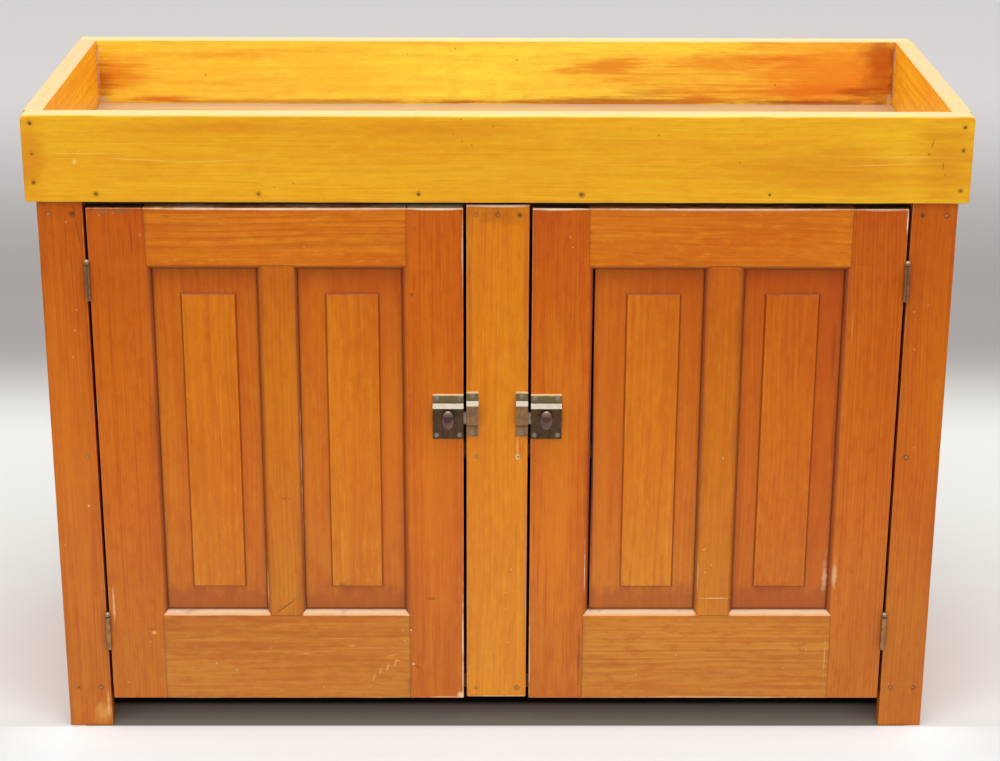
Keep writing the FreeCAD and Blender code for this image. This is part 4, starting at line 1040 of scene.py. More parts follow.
MARKS = {
    "tray_front_board": (
        stains(ORANGE, 0.8, (-600, 818, 22, 60, 0.5), (575, 815, 45, 60, 0.5),
               (430, 806, 130, 34, 0.35)),
        marks(STRAW, 0.6, (-530, 825, 60, 0.8, 0.5), (-460, 817, 80, 0.9, 0.5, -3),
              (-350, 816, 60, 0.8, 0.4, 2), (520, 822, 90, 0.8, 0.45),
              (500, 812, 80, 0.8, 0.45, 2)),
        stains(ORANGE, 0.9, (-360, 858, 160, 10, 0.3), (-60, 855, 130, 14, 0.3)),
        marks(linear(252, 208, 100), 0.2, (-543, 814, 3.0, 4.5, 0.85)),
        marks(DARK, 0.3, (557, 841, 1.0, 7, 0.6, -15)),
        marks(DARK, 0.9, (553, 826, 2.6, 2.4, 0.55)),
        marks(DARK, 0.5, (572, 811, 1.2, 6, 0.5), (575, 799, 1.0, 2.4, 0.5)),
        specks(DARK, 1.4, 0.5, (-48, 871), (-57, 852), (-46, 842), (-34, 837), (-6, 862),
               (-288, 781), (-263, 786), (310, 815), (205, 850)),
        # A painted highlight along the upper edge of the front board's face.
        marks(linear(250, 196, 84), 0.4, (0, 874.6, 610, 2.0, 0.75)),
    ),
    "tray_back_board": (
        stains(ORANGE, 0.9, (-560, 825, 55, 26, 0.75)),
        stains(DEEP_RED, 0.9, (-583, 812, 22, 34, 0.6)),
        stains(linear(206, 92, 18), 0.8, (-488, 789, 56, 5, 0.85)),
        stains(ORANGE, 0.9, (-400, 855, 90, 9, 0.35), (-430, 812, 80, 5, 0.35),
               (-250, 862, 160, 5, 0.22)),
        marks(DARK, 0.7, (-588, 866, 7, 9, 0.7)),
        stains(DEEP_RED, 1.0, (-300, 785, 330, 4.5, 0.5), (180, 787, 300, 7, 0.75)),
        stains(ORANGE, 1.1, (170, 838, 70, 22, 0.7)),
        stains(DEEP_RED, 1.1, (220, 800, 60, 10, 0.45)),
        stains(ORANGE, 1.1, (330, 846, 100, 16, 0.6), (390, 800, 150, 16, 0.65)),
        stains(linear(220, 104, 18), 0.5, (500, 825, 150, 75, 0.72)),
        stains(ORANGE, 0.9, (300, 825, 260, 40, 0.35)),
        marks(DEEP_RED, 0.6, (566, 832, 28, 70, 0.6)),
        marks(linear(112, 38, 10), 0.8, (586, 825, 9, 60, 0.6)),
        marks(linear(178, 76, 16), 0.7, (560, 850, 40, 26, 0.5)),
        stains(DEEP_RED, 1.0, (535, 797, 30, 9, 0.7)),
        marks(DARK, 1.0, (470, 785, 130, 4, 0.6)),
        specks(DARK, 1.8, 0.5, (-426, 825), (-130, 856), (-60, 865), (30, 848), (410, 812)),
        specks(BARE, 2.6, 0.7, (-578, 862)),
        marks(GREY, 1.0, (-583, 832, 1.6, 44, 0.55), (584, 832, 1.6, 44, 0.55),
              (-576, 787, 8, 4, 0.6), (580, 790, 4, 10, 0.6)),
    ),
    "left_front_stile": (
        marks(DARK, 0.1, (-547.6, 749, 0.7, 9, 0.8, 4), (-544.2, 720, 0.8, 23, 0.8, 8)),
        specks(BARE, 1.5, 0.36, (-559, 733), (-552, 613), (-556, 585), (-561, 548), (-588, 276)),
        specks(BARE, 2.2, 0.8, (-552, 334)),
        marks(linear(222, 160, 74), 1.2, (-550, 18, 13, 17, 0.6, -25)),
        marks(linear(236, 190, 120), 1.2, (-541, 30, 2.5, 18, 0.6)),
        marks(linear(214, 116, 24), 0.8, (-585, 560, 9, 150, 0.35)),
        stains(linear(218, 126, 34), 0.8, (-568, 330, 30, 330, 0.4)),
    ),
    "right_front_stile": (
        specks(BARE, 1.4, 0.3, (548, 612), (552, 560), (566, 622), (540, 300), (560, 420)),
    ),
    "center_stile": (
        # A painted highlight along the worn top arris of the stile.
        marks(CREAM, 0.3, (0, 755.2, 42, 1.7, 0.95)),
        marks(SCARLET, 0.2, (31, 418, 0.9, 15, 0.75), (35, 420, 0.7, 10, 0.65)),
        marks(linear(244, 190, 110), 0.5, (27, 424, 1.2, 17, 0.45)),
        marks(linear(255, 226, 160), 0.5, (28, 406, 3.4, 4.4, 0.9)),
        marks(DEEP_RED, 0.8, (0, 742, 42, 14, 0.35), (-37, 600, 4, 160, 0.3),
              (37, 640, 4, 120, 0.25)),
        specks(BARE, 1.4, 0.3, (13, 205), (20, 240), (12, 180), (16, 130)),
        marks(BARE, 0.9, (0, 46, 40, 1.3, 0.5)),
    ),
    "left_door_hinge_stile": (
        marks(OLIVE, 1.2, (-500, 747.5, 34, 3.0, 0.5)),
        marks(DEEP_RED, 0.4, (-476, 712, 1.8, 26, 0.7), (-487, 700, 1.4, 20, 0.5)),
        specks(BARE, 1.4, 0.3, (-516, 742), (-498, 745), (-464, 716), (-455, 152), (-478, 130),
               (-512, 68), (-462, 118)),
        marks(PALE, 0.9, (-472, 144, 4, 3, 0.8)),
        marks(DARK, 0.5, (-474, 150, 8, 1.0, 0.6)),
        marks(CREAM, 0.9, (-526, 190, 1.6, 26, 0.45)),
        specks(OLIVE, 1.9, 0.75, (-458, 738), (-457, 729), (-456, 718), (-457, 706)),
    ),
    "left_door_top_rail": (
        door_crest(-459, -119),
        marks(DARK, 0.8, (-430, 741, 9, 2.5, 0.35)),
        specks(BARE, 1.4, 0.3, (-236, 694), (-252, 700)),
    ),
    "left_door_latch_stile": (
        door_crest(-119, -45),
        marks(CREAM, 1.2, (-46.2, 700, 1.0, 50, 0.5)),
        marks(BARE, 1.1, (-46.4, 110, 1.1, 90, 0.75)),
        marks(BARE, 0.7, (-49, 48, 5, 5, 0.7)),
        marks(BARE, 0.9, (-75, 44.5, 30, 1.2, 0.5)),
        stains(linear(224, 128, 10), 0.8, (-82, 360, 32, 260, 0.42)),
        marks(DARK, 0.4, (-112, 635, 3.0, 3.0, 0.7)),
        marks(DEEP_RED, 0.3, (-110, 650, 1.4, 18, 0.5)),
        marks(DARK, 0.8, (-88, 196, 7, 2.4, 0.45)),
        marks(DARK, 0.2, (-110, 92, 9, 1.0, 0.7, -29)),
        specks(BARE, 2.0, 0.7, (-118, 148), (-115, 96)),
    ),
    "left_door_mullion": (
        marks(DARK, 0.15, (-288.5, 185.5, 20, 1.2, 0.85, 37)),
        marks(CREAM, 1.1, (-262.5, 380, 1.1, 160, 0.7)),
        marks(BARE, 0.8, (-313.5, 210, 1.1, 34, 0.55)),
        marks(DARK, 0.6, (-286, 345, 9, 2.2, 0.35)),
    ),
    "left_door_bottom_rail": (
        marks(PALE, 1.2,
              *((x, z, 1.1, 6, 0.5, -18) for x, z in (
                  (-176, 62), (-170, 75), (-161, 85), (-151, 90), (-140, 98))),
              (-143, 110, 8, 1.2, 0.5, 14), (-136, 101, 4, 1.2, 0.5, -12), (-262, 112, 12, 1.4, 0.4)),
        marks(PALE, 1.0, (-200, 124, 7, 1.8, 0.6)),
        marks(PALE, 0.9, (-218, 135, 14, 1.0, 0.5)),
        specks(BARE, 1.4, 0.4, (-313, 120), (-240, 60), (-127, 132), (-129, 148)),
        specks(GREY, 1.6, 0.55, (-388, 97), (-361, 86)),
        marks(OLIVE, 1.1, (-458, 95, 1.1, 46, 0.7)),
    ),
    "right_door_latch_stile": (
        door_crest(45, 119),
        stains(linear(226, 134, 10), 0.8, (82, 360, 32, 260, 0.45)),
        marks(BARE, 1.1, (46, 100, 1.2, 60, 0.4)),
        marks(DARK, 0.6, (114, 102, 1.8, 62, 0.65)),
        marks(CREAM, 1.0, (120.5, 232, 0.9, 44, 0.65)),
        specks(BARE, 1.3, 0.4, (94, 714), (98, 700)),
    ),
    "right_door_top_rail": (
        door_crest(119, 459, 0.7),
    ),
    "right_door_hinge_stile": (
        door_crest(459, 533, 0.4),
        marks(CREAM, 0.4, (532, 735, 1.3, 18, 0.9)),
        marks(linear(220, 190, 90), 0.3, (537, 484, 1.4, 4, 0.9)),
        marks(linear(226, 150, 50), 0.3, (468, 590, 1.2, 24, 0.6)),
        marks(BARE, 1.2, (463, 229, 3, 22, 0.45)),
    ),
    "right_door_mullion": (
        marks(BARE, 0.6, (300, 197, 21, 0.9, 0.55)),
        marks(BARE, 1.0, (276, 230, 1.0, 28, 0.45)),
        specks(BARE, 1.4, 0.4, (304, 405), (283, 270), (294, 247), (286, 236)),
    ),
    "right_door_bottom_rail": (
        specks(BARE, 1.3, 0.35, (430, 118), (400, 90), (250, 110), (195, 80)),
        marks(PALE, 1.2, (456, 100, 1.2, 30, 0.4)),
        marks(BARE, 1.0, (300, 44.5, 140, 1.0, 0.45)),
    ),
    "left_door_inner_panel": (
        stains(ORANGE, 0.8, (-141, 420, 11, 190, 0.4)),
    ),
    "right_door_inner_panel": (
        stains(ORANGE, 0.8, (140, 400, 12, 210, 0.4)),
        # A painted shadow: the dark of the gap at the panel's left edge.
        marks(GAP_SHADOW, 0.15, (128.4, 430, 1.5, 238, 0.95, 0.5)),
    ),
    "right_door_outer_panel": (
        marks(DEEP_RED, 0.6, (447, 560, 3.0, 46, 0.6), (452, 440, 2.6, 60, 0.5)),
        marks(BARE, 1.3, (451, 229, 4, 26, 0.5)),
    ),
}


# ---------------------------------------------------------------- tray

# A pinkish painted glare lies on the floor from this y to the back board.
BACK_GLARE_EDGE = 0.205

# Radii of the long boards' worn ends and of the front board's upper edge, front and back.
END_TOP = 6 * MM
END_BOTTOM = 4 * MM
FRONT_END_TOP_LEFT = 6.5 * MM
BACK_END_TOP_LEFT = 3 * MM
FRONT_RIM_RADII = (3.2 * MM, 2 * MM)

# Factors of the rim's and the tray's colour.
FRONT_RIM_TINT = (0.92, 0.93, 0.84)
SIDE_RIM_TINT = (0.96, 0.88, 0.84)
SIDE_TINT = (1.0, 0.9, 1.0)


def tray_end_radii(top_left):
    """Worn corners of the tray's long boards: radii of (face, top, back, bottom) at each end."""
    arris = bpy.context.scene.cabinet_wood.arris
    return (arris, top_left, arris, END_BOTTOM), (arris, END_TOP, arris, END_BOTTOM)


class CABINET_OT_tray(bpy.types.Operator):
    """Makes the tray's four boards and its floor"""
    bl_idname = "cabinet.make_tray"
    bl_label = "Tray"

    def execute(self, context):
        wood = context.scene.cabinet_wood
        rim = np.array(wood.rim)
        broad = Figure(pith_across=-0.008, pith_depth=0.085, lean=0.004, climb=-0.04, ring=0.0055,
                       contrast=0.42, pale=True, shown_from=(0.72, 1.1))
        flat = Figure(pith_across=-0.02, pith_depth=0.05, lean=0.01, climb=0.03, ring=0.007,
                      contrast=0.16)
        make_board("tray_front_board", "x", "-y",
                   Coat(wood.tray, broad, 1, warm=0.4, wear=0.25, grime=0.3, ledge=0.95,
                        ledge_color=rim * FRONT_RIM_TINT),
                   end_radii=tray_end_radii(FRONT_END_TOP_LEFT), top_radii=FRONT_RIM_RADII)
        make_board("tray_back_board", "x", "+y",
                   Coat(wood.tray_back, flat, 2, warm=0.4, wear=0.2, ledge=0.95,
                        ledge_color=rim, behind=wood.case),
                   end_radii=tray_end_radii(BACK_END_TOP_LEFT))
        for number, (side, face) in enumerate(FACES.items()):
            make_board(f"tray_{side}_board", "y", face,
                       Coat(np.array(wood.tray) * SIDE_TINT, sawn(8 + number, 0.007, 0.35),
                            3 + number, warm=0.6, wear=0.2, ledge=0.95,
                            ledge_color=rim * SIDE_RIM_TINT))
        for number, part in enumerate(("front", "back")):
            make_board(f"tray_floor_{part}", "x", "+z",
                       Coat(wood.floor, sawn(11 + number), 6 + number, warm=0.3, grime=0.9,
                            back_glare=BACK_GLARE_EDGE))
        return {"FINISHED"}


# ---------------------------------------------------------------- case

RABBET_DEPTH = 12 * MM
SIDE_RADII = np.array([0.4, 1.2, 0.6, 0, 0.4, 0.4]) * MM
SIDE_ENDS = ((0.6 * MM,), (0.3 * MM,))
RAIL_ENDS = ((0.5 * MM,), (0.5 * MM,))
BACK_ENDS = ((0.6 * MM,), (0.6 * MM,))


def side_section(place, shelves):
    """A side board: a rabbet for the back boards and dadoes for the shelves.

    Across runs front to back; in runs from the outer face to the inner one.  At a dado the
    inner face steps back to the depth at which the shelf's end lies.
    """
    width, thickness = place.size[1], place.size[2]
    outer = abs(place.origin[0])
    shelf_low, shelf_high = shelves[0]
    shelf_end = outer - max(abs(shelf_low[0]), abs(shelf_high[0]))
    back_reach = outer - abs(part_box("back_board_5")[1][0])
    full = np.array([(0, 0), (width, 0), (width, back_reach), (width - RABBET_DEPTH, back_reach),
                     (width - RABBET_DEPTH, thickness), (0, thickness)])

    def corners(places):
        shape = np.broadcast_to(full, (len(places), 6, 2)).copy()
        for low, high in shelves:
            let_in = (places > low[2] - HAIR / 2) & (places < high[2] + HAIR / 2)
            shape[let_in, 4:, 1] = shelf_end
        return shape

    return Section(full, SIDE_RADII, corners)


class CABINET_OT_case(bpy.types.Operator):
    """Makes the case's sides, stiles, rails, shelves and back boards"""
    bl_idname = "cabinet.make_case"
    bl_label = "Case"

    def execute(self, context):
        wood = context.scene.cabinet_wood
        shelves = [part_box(f"{level}_shelf_front") for level in ("middle", "bottom")]
        dado_lines = [edge[2] + step for shelf in shelves for edge in shelf
                      for step in (-HAIR, HAIR)]
        for number, (side, face) in enumerate(FACES.items()):
            place = node_lie(f"{side}_side_board", "z", face)
            make_board(f"{side}_side_board", "z", face,
                       sawn_coat(wood.case, 21 + number, (0.006, 0.5), warm=0.6),
                       section=side_section(place, shelves), place=place, extra=dado_lines,
                       end_radii=SIDE_ENDS)
            make_board(f"{side}_front_stile", "z", "-y",
                       sawn_coat(wood.case, 31 + number, (0.0038, 0.35, 0.2), warm=0.55,
                                 wear=0.35, fade=1.0, grime=0.6))
        cathedral = Figure(pith_across=0.004, pith_depth=0.02, lean=0.012, climb=0.05,
                           ring=0.0075, contrast=0.38)
        make_board("center_stile", "z", "-y",
                   Coat(wood.center, cathedral, 41, warm=0.5, wear=0.5, fade=0.6, crest=1.0))
        for number, part in enumerate(("front", "back")):
            make_board(f"top_{part}_rail", "x", "-y",
                       sawn_coat(wood.rail, 51 + number, (0.005, 0.55), warm=0.1, gloss=0.6),
                       end_radii=RAIL_ENDS)
        shelf_names = [f"{level}_shelf_{part}" for level in ("middle", "bottom")
                       for part in ("front", "back")]
        for number, name in enumerate(shelf_names):
            make_board(name, "x", "+z",
                       sawn_coat(wood.inside, 53 + number, (0.005, 0.55), warm=0.5, gloss=0.6),
                       end_radii=RAIL_ENDS)
        for number in range(1, 6):
            make_board(f"back_board_{number}", "z", "+y",
                       sawn_coat(wood.back, 61 + number, (0.007, 0.65, 0.1), warm=0.35,
                                 gloss=0.7),
                       end_radii=BACK_ENDS)
        return {"FINISHED"}


# ---------------------------------------------------------------- doors

STICKING = 6 * MM
STICKING_RADII = [0.5 * MM, 0.5 * MM, 0, 0, 0, 0, 0.3 * MM]
GROOVE_DEPTH = 9 * MM
GROOVE_PLAY = 0.1 * MM
PANEL_RECESS = 10 * MM
PANEL_THICKNESS = 6 * MM
FIELD_RISE = 3 * MM
FIELD_STEP = 1.5 * MM
FIELD_STEP_LINES = 6
FIELD_GRID = 20 * MM
FIELD_TOP_MARGIN = 36 * MM
FIELD_BOTTOM_MARGIN = 35 * MM
COVE_DEPTH = 0.5 * MM
COVE_WIDTH = 7 * MM
SHOULDER = 0.35 * MM

# Each panel: which opening it fills, counted from the left, its margins to the left and right
# of the raised field, and its tint.
PANELS = {
    ("left", "outer"): (0, 37 * MM, 29 * MM, 1),
    ("left", "inner"): (1, 37 * MM, 31 * MM, 1),
    ("right", "outer"): (1, 29 * MM, 32 * MM, (0.89, 0.72, 0.56)),
    ("right", "inner"): (0, 45 * MM, 31 * MM, 1),
}
CRESTS = {
    ("left", "top_rail"): 1.0, ("left", "latch_stile"): 1.0,
    ("right", "latch_stile"): 1.0, ("right", "top_rail"): 0.75, ("right", "hinge_stile"): 0.45,
}
PLAIN_CREST = 0.1
DUSTY_LIDS = {("left", "top_rail"), ("left", "latch_stile")}
LINED = Figure(pith_across=0.22, pith_depth=0.03, lean=0.004, climb=0.006, ring=0.0048,
               contrast=0.62)


@dataclass
class Door:
    """Lines of a door's frame, in metres: openings as (low, high) pairs; box is the whole door."""
    side: str
    box: tuple
    across: list
    foot: float
    head: float
    shoulders: tuple


def door_lines(side):
    """The door's openings, from the boxes of its frame's nodes."""
    name = f"{side}_door"
    left, right = sorted((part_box(f"{name}_{kind}_stile") for kind in ("hinge", "latch")),
                         key=lambda box: box[0][0])
    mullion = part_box(f"{name}_mullion")
    across = [(left[1][0], mullion[0][0]), (mullion[1][0], right[0][0])]
    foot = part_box(f"{name}_bottom_rail")[1][2]
    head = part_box(f"{name}_top_rail")[0][2]
    box = (np.array(left[0]), np.array(right[1]))
    return Door(side, box, across, foot, head, (left[1][0] - STICKING, right[0][0] + STICKING))


def sticking_width(places, openings):
    """Width of the moulded edge: it rises at 45 degrees from each mitre to its full width."""
    width = np.zeros(len(places))
    for low, high in openings:
        rise = np.minimum(places - (low - STICKING), (high + STICKING) - places)
        width = np.maximum(width, np.clip(rise, 0, STICKING))
    return width


def grooved(places, openings):
    """Depth of the panel groove: full beside an opening, none elsewhere."""
    depth = np.zeros(len(places))
    for low, high in openings:
        beside = (places > low - GROOVE_DEPTH) & (places < high + GROOVE_DEPTH)
        depth = np.where(beside, GROOVE_DEPTH, depth)
    return depth


def moulded_section(flat, thickness, radius, openings, both_edges):
    """A frame member: one edge or both, toward panels, carry a 45-degree chamfer and a groove.

    Flat is the member's width without its moulded edges, which stand out past it.
    """
    groove_front = PANEL_RECESS - GROOVE_PLAY
    groove_back = PANEL_RECESS + PANEL_THICKNESS + GROOVE_PLAY

    def shape(width, groove):
        zero = np.zeros_like(width)
        bottom = width - groove
        outward = [(zero, zero), (width, width), (width, zero + groove_front),
                   (bottom, zero + groove_front), (bottom, zero + groove_back),
                   (width, zero + groove_back), (width, zero + thickness)]
        far = [(flat + x, y) for x, y in outward]
        near = [(zero, zero + thickness), (zero, zero)]
        if both_edges:
            near = [(-x, y) for x, y in reversed(outward)]
        points = near[-1:] + far + near[:-1]
        return np.stack([np.stack(point, axis=-1) for point in points], axis=1)

    full = shape(np.array([STICKING]), np.array([GROOVE_DEPTH]))[0]
    near_radii = STICKING_RADII[::-1] if both_edges else [radius, radius]
    radii = np.array(near_radii[-1:] + STICKING_RADII + near_radii[:-1])
    return Section(full, radii,
                   lambda places: shape(sticking_width(places, openings),
                                        grooved(places, openings)))


def member_lines(openings):
    """Stations where a mitre or a groove begins or ends."""
    places = []
    for low, high in openings:
        places += [low - STICKING, low, high, high + STICKING]
        places += [edge + step for edge in (low - GROOVE_DEPTH, high + GROOVE_DEPTH)
                   for step in (-HAIR, HAIR)]
    return places


def make_member(door, part, grain, x_span, z_span, flips, coat, both_edges=False):
    """One stile, rail or mullion; the spans bound its flat, without its moulded edges.

    A member that flips has its moulded edge on the left or below.
    """
    wood = bpy.context.scene.cabinet_wood
    low = np.array([x_span[0], door.box[0][1], z_span[0]])
    high = np.array([x_span[1], door.box[1][1], z_span[1]])
    place = lie(low, high, grain, "-y")
    grain_axis, across_axis, _ = place.axes
    if flips:
        place.origin[across_axis] = high[across_axis]
        place.signs = (1, -1, 1)
    spans = [(door.foot, door.head)] if grain == "z" else door.across
    openings = [(start - low[grain_axis], end - low[grain_axis]) for start, end in spans]
    free_ends = part.endswith("stile")
    coat.wear_box = door.box
    coat.joint = 0.0 if free_ends else 0.45
    coat.fade = 1.0
    coat.moulded = True
    coat.crest = CRESTS.get((door.side, part), PLAIN_CREST)
    if (door.side, part) in DUSTY_LIDS:
        coat.top_shade_and_dirt = wood.grey_lid
    radius = SHOULDER if part == "mullion" else wood.arris
    section = moulded_section(place.size[1], place.size[2], radius, openings, both_edges)
    ends = (wood.arris,) if free_ends else (SHOULDER,)
    make_board(f"{door.side}_door_{part}", grain, "-y", coat, section=section, place=place,
               end_radii=(ends, ends), extra=member_lines(openings))


def make_frame(door, seed):
    """The frame of one door: stiles from the left, rails from below, and the mullion."""
    wood = bpy.context.scene.cabinet_wood
    low, high = door.box
    kinds = ("hinge", "latch") if door.side == "left" else ("latch", "hinge")
    spans = ((low[0], door.shoulders[0]), (door.shoulders[1], high[0]))
    for number, (kind, span) in enumerate(zip(kinds, spans)):
        figure = sawn(seed + number, 0.0034, 0.34, 0.2)
        if (door.side, kind) == ("right", "hinge"):
            figure = LINED
        coat = Coat(getattr(wood, f"{kind}_stile"), figure, seed + number, warm=0.6, wear=0.5)
        make_member(door, f"{kind}_stile", "z", span, (low[2], high[2]), number == 1, coat)
    rails = {"bottom_rail": (low[2], door.foot - STICKING),
             "top_rail": (door.head + STICKING, high[2])}
    for number, (part, span) in enumerate(rails.items()):
        coat = sawn_coat(getattr(wood, part), seed + 5 + number,
                         (0.0062, 0.46, 0.06, 0.04, 0.06), warm=0.8, wear=0.6)
        make_member(door, part, "x", door.shoulders, span, number == 1, coat)
    make_member(door, "mullion", "z",
                (door.across[0][1] + STICKING, door.across[1][0] - STICKING),
                (door.foot - STICKING, door.head + STICKING), False,
                sawn_coat(wood.mullion, seed + 9, (0.004, 0.35), warm=0.5, wear=0.5),
                both_edges=True)


def field_grid(low, high, starts, ends):
    """Grid places across a panel, close together on the slopes of its raised field."""
    slope = np.linspace(0, FIELD_STEP, FIELD_STEP_LINES)
    regular = np.linspace(low, high, max(3, int((high - low) / FIELD_GRID)))
    places = np.concatenate([regular, starts + slope, ends - slope, [low, high]])
    places = np.unique(np.round(places, 5))
    return places[np.concatenate([[True], np.diff(places) > 2 * HAIR])]


def raised_panel(low, high, field_x, field_z):
    """Points and faces of a panel with a raised field, closed by walls and a flat back.

    The face is a height field: it rises by a smooth step s²(3 - 2s) of the distance inside the
    field's outline, and the margin dips a little toward the field.
    """
    x = field_grid(low[0], high[0], *field_x)
    z = field_grid(low[2], high[2], *field_z)
    inside = np.minimum(np.minimum(x - field_x[0], field_x[1] - x)[None, :],
                        np.minimum(z - field_z[0], field_z[1] - z)[:, None])
    share = np.clip(inside / FIELD_STEP, 0, 1)
    rise = FIELD_RISE * share ** 2 * (3 - 2 * share)
    cove = COVE_DEPTH * np.exp(-(np.minimum(inside, 0) / COVE_WIDTH) ** 2) * (inside < 0)
    face = np.empty((len(z), len(x), 3))
    face[..., 0] = x[None, :]
    face[..., 1] = low[1] + FIELD_RISE - rise + cove
    face[..., 2] = z[:, None]
    back = face.copy()
    back[..., 1] = high[1]
    points = np.concatenate([face.reshape(-1, 3), back.reshape(-1, 3)])
    count = face.shape[0] * face.shape[1]
    index = np.arange(count).reshape(face.shape[:2])
    front = np.stack([index[:-1, :-1], index[:-1, 1:], index[1:, 1:], index[1:, :-1]],
                     axis=-1).reshape(-1, 4)
    rim = np.concatenate([index[0, :-1], index[:-1, -1], index[-1, :0:-1], index[:0:-1, 0]])
    following = np.roll(rim, -1)
    walls = np.stack([rim, following, following + count, rim + count], axis=-1)
    return points, np.concatenate([front, front[:, ::-1] + count, walls]).tolist()


def make_panel(door, opening, seed):
    """A panel with its raised field, in its opening of a door."""
    wood = bpy.context.scene.cabinet_wood
    name = f"{door.side}_door_{opening}_panel"
    number, left, right, tint = PANELS[door.side, opening]
    low, high = (np.array(corner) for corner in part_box(name))
    span = door.across[number]
    field_x = (span[0] + left, span[1] - right)
    field_z = (door.foot + FIELD_BOTTOM_MARGIN, door.head - FIELD_TOP_MARGIN)
    piece = build_mesh(f"{name}_wood", *raised_panel(low, high, field_x, field_z), sharp=50)
    coat = sawn_coat(np.array(wood.panel) * tint, seed, (0.005, 0.42, 0.1), warm=0.6, wear=0.0,
                     grime=0.5, fade=1.0, field=(*field_x, *field_z),
                     opening=(*span, door.foot, door.head), marks=sum(MARKS.get(name, ()), ()))
    dress(piece, name, pine(f"{name}_pine", lie(low, high, "z", "-y"), coat))


class CABINET_OT_doors(bpy.types.Operator):
    """Makes the frames and raised panels of both doors"""
    bl_idname = "cabinet.make_doors"
    bl_label = "Doors"

    def execute(self, context):
        for number, side in enumerate(SIDES):
            door = door_lines(side)
            make_frame(door, 80 + 20 * number)
            for step, opening in enumerate(("outer", "inner")):
                make_panel(door, opening, 120 + 10 * number + step)
        return {"FINISHED"}


# ---------------------------------------------------------------- nails

HEAD_HALF = 2.4 * MM
HEAD_SINK = 0.35 * MM
HEAD_POINTS = 20
PALE_HEADS = {"tray_nails": 0.0, "case_nails": 0.8, "back_nails": 0.0}

# Rings of a head from its middle to its underside: share of its half width, and depth.
HEAD_SHRINK = np.array([0.0, 0.45, 0.8, 0.95, 1.0, 0.97, 0.6, 0.0])
HEAD_DEPTH = np.array([0.0, 0.02, 0.10, 0.22, 0.42, 0.9, 1.3, 1.3]) * MM


def nail_heads(name, node_name, material):
    """Domed square nail heads of one node as one piece.

    Each head is a ring surface: at angle a its outline is half·(|cos a|^n + |sin a|^n)^(-1/n)
    with n = 4, shrunk by ring, and its height falls from the middle to the rim.
    """
    boxes = NAIL_BOXES[node_name]
    random = np.random.default_rng(len(boxes))
    angle = np.linspace(0, 2 * np.pi, HEAD_POINTS, endpoint=False)
    outline = (np.abs(np.cos(angle)) ** 4 + np.abs(np.sin(angle)) ** 4) ** -0.25
    quads = np.array(ring_faces(len(HEAD_SHRINK), HEAD_POINTS))
    heads = []
    for box in boxes:
        axis = int(np.argmax(box[1] - box[0]))
        middle = box.mean(axis=0)
        inward = 1 if middle[axis] < 0 else -1
        top = box[0 if inward > 0 else 1][axis]
        turn = random.uniform(-0.5, 0.5)
        half = HEAD_HALF * random.uniform(0.85, 1.1)
        sink = HEAD_SINK * random.uniform(0.6, 1.4)
        others = [other for other in range(3) if other != axis]
        head = np.zeros((len(HEAD_SHRINK), HEAD_POINTS, 3))
        for other, wave in zip(others, (np.cos(angle + turn), np.sin(angle + turn))):
            head[..., other] = HEAD_SHRINK[:, None] * half * outline * wave + middle[other]
        head[..., axis] = top + inward * (sink + HEAD_DEPTH[:, None])
        heads.append(head)
    points = np.stack(heads)
    offsets = np.arange(len(heads)) * HEAD_POINTS * len(HEAD_SHRINK)
    faces = (quads[None] + offsets[:, None, None]).reshape(-1, 4).tolist()
    return dress(build_mesh(name, points, faces, sharp=60), node_name, material)


def nail_iron(name, color, pale_share):
    """Old iron under varnish; a share of the heads is pale with filler."""
    metal = bpy.context.scene.cabinet_metal
    graph = Graph(name)
    x, y, z = graph.parts(graph.object_place())
    cell = graph.vector(*(graph.math("ROUND", part * 60) for part in (x, y, z)))
    head = graph.add("ShaderNodeTexWhiteNoise", {"noise_dimensions": "3D"}, {"Vector": cell})
    spots = graph.noise(graph.vector(x * 900, y * 900, z * 900), 3.0, 0.6)
    graph.color = graph.blend(graph.step(spots, 0.35, 0.7), color, np.array(color) * 0.45)
    pale = graph.step(head, pale_share, pale_share - 0.02) * graph.step(spots, 0.75, 0.4)
    graph.lay(pale * 0.85, metal.filler)
    return graph.surface(Base_Color=graph.color, Roughness=0.55 + (spots - 0.5) * 0.3,
                         Normal=graph.bump(spots, 0.0003, 0.5))


class CABINET_OT_nails(bpy.types.Operator):
    """Makes the heads of the cut nails"""
    bl_idname = "cabinet.make_nails"
    bl_label = "Nails"

    def execute(self, context):
        metal = context.scene.cabinet_metal
        for node_name, pale_share in PALE_HEADS.items():
            color = metal.rust if node_name == "tray_nails" else metal.iron
            nail_heads(f"{node_name}_heads", node_name,
                       nail_iron(f"{node_name}_iron", color, pale_share))
        return {"FINISHED"}


# ---------------------------------------------------------------- hardware

# Height at which the latches' upper strip begins, and how far below its top the rubbed crest
# begins and is full.
FLANGE_FOOT = 485 * MM
CREST_FOOT = 2.6 * MM
CREST_FULL = 1.8 * MM


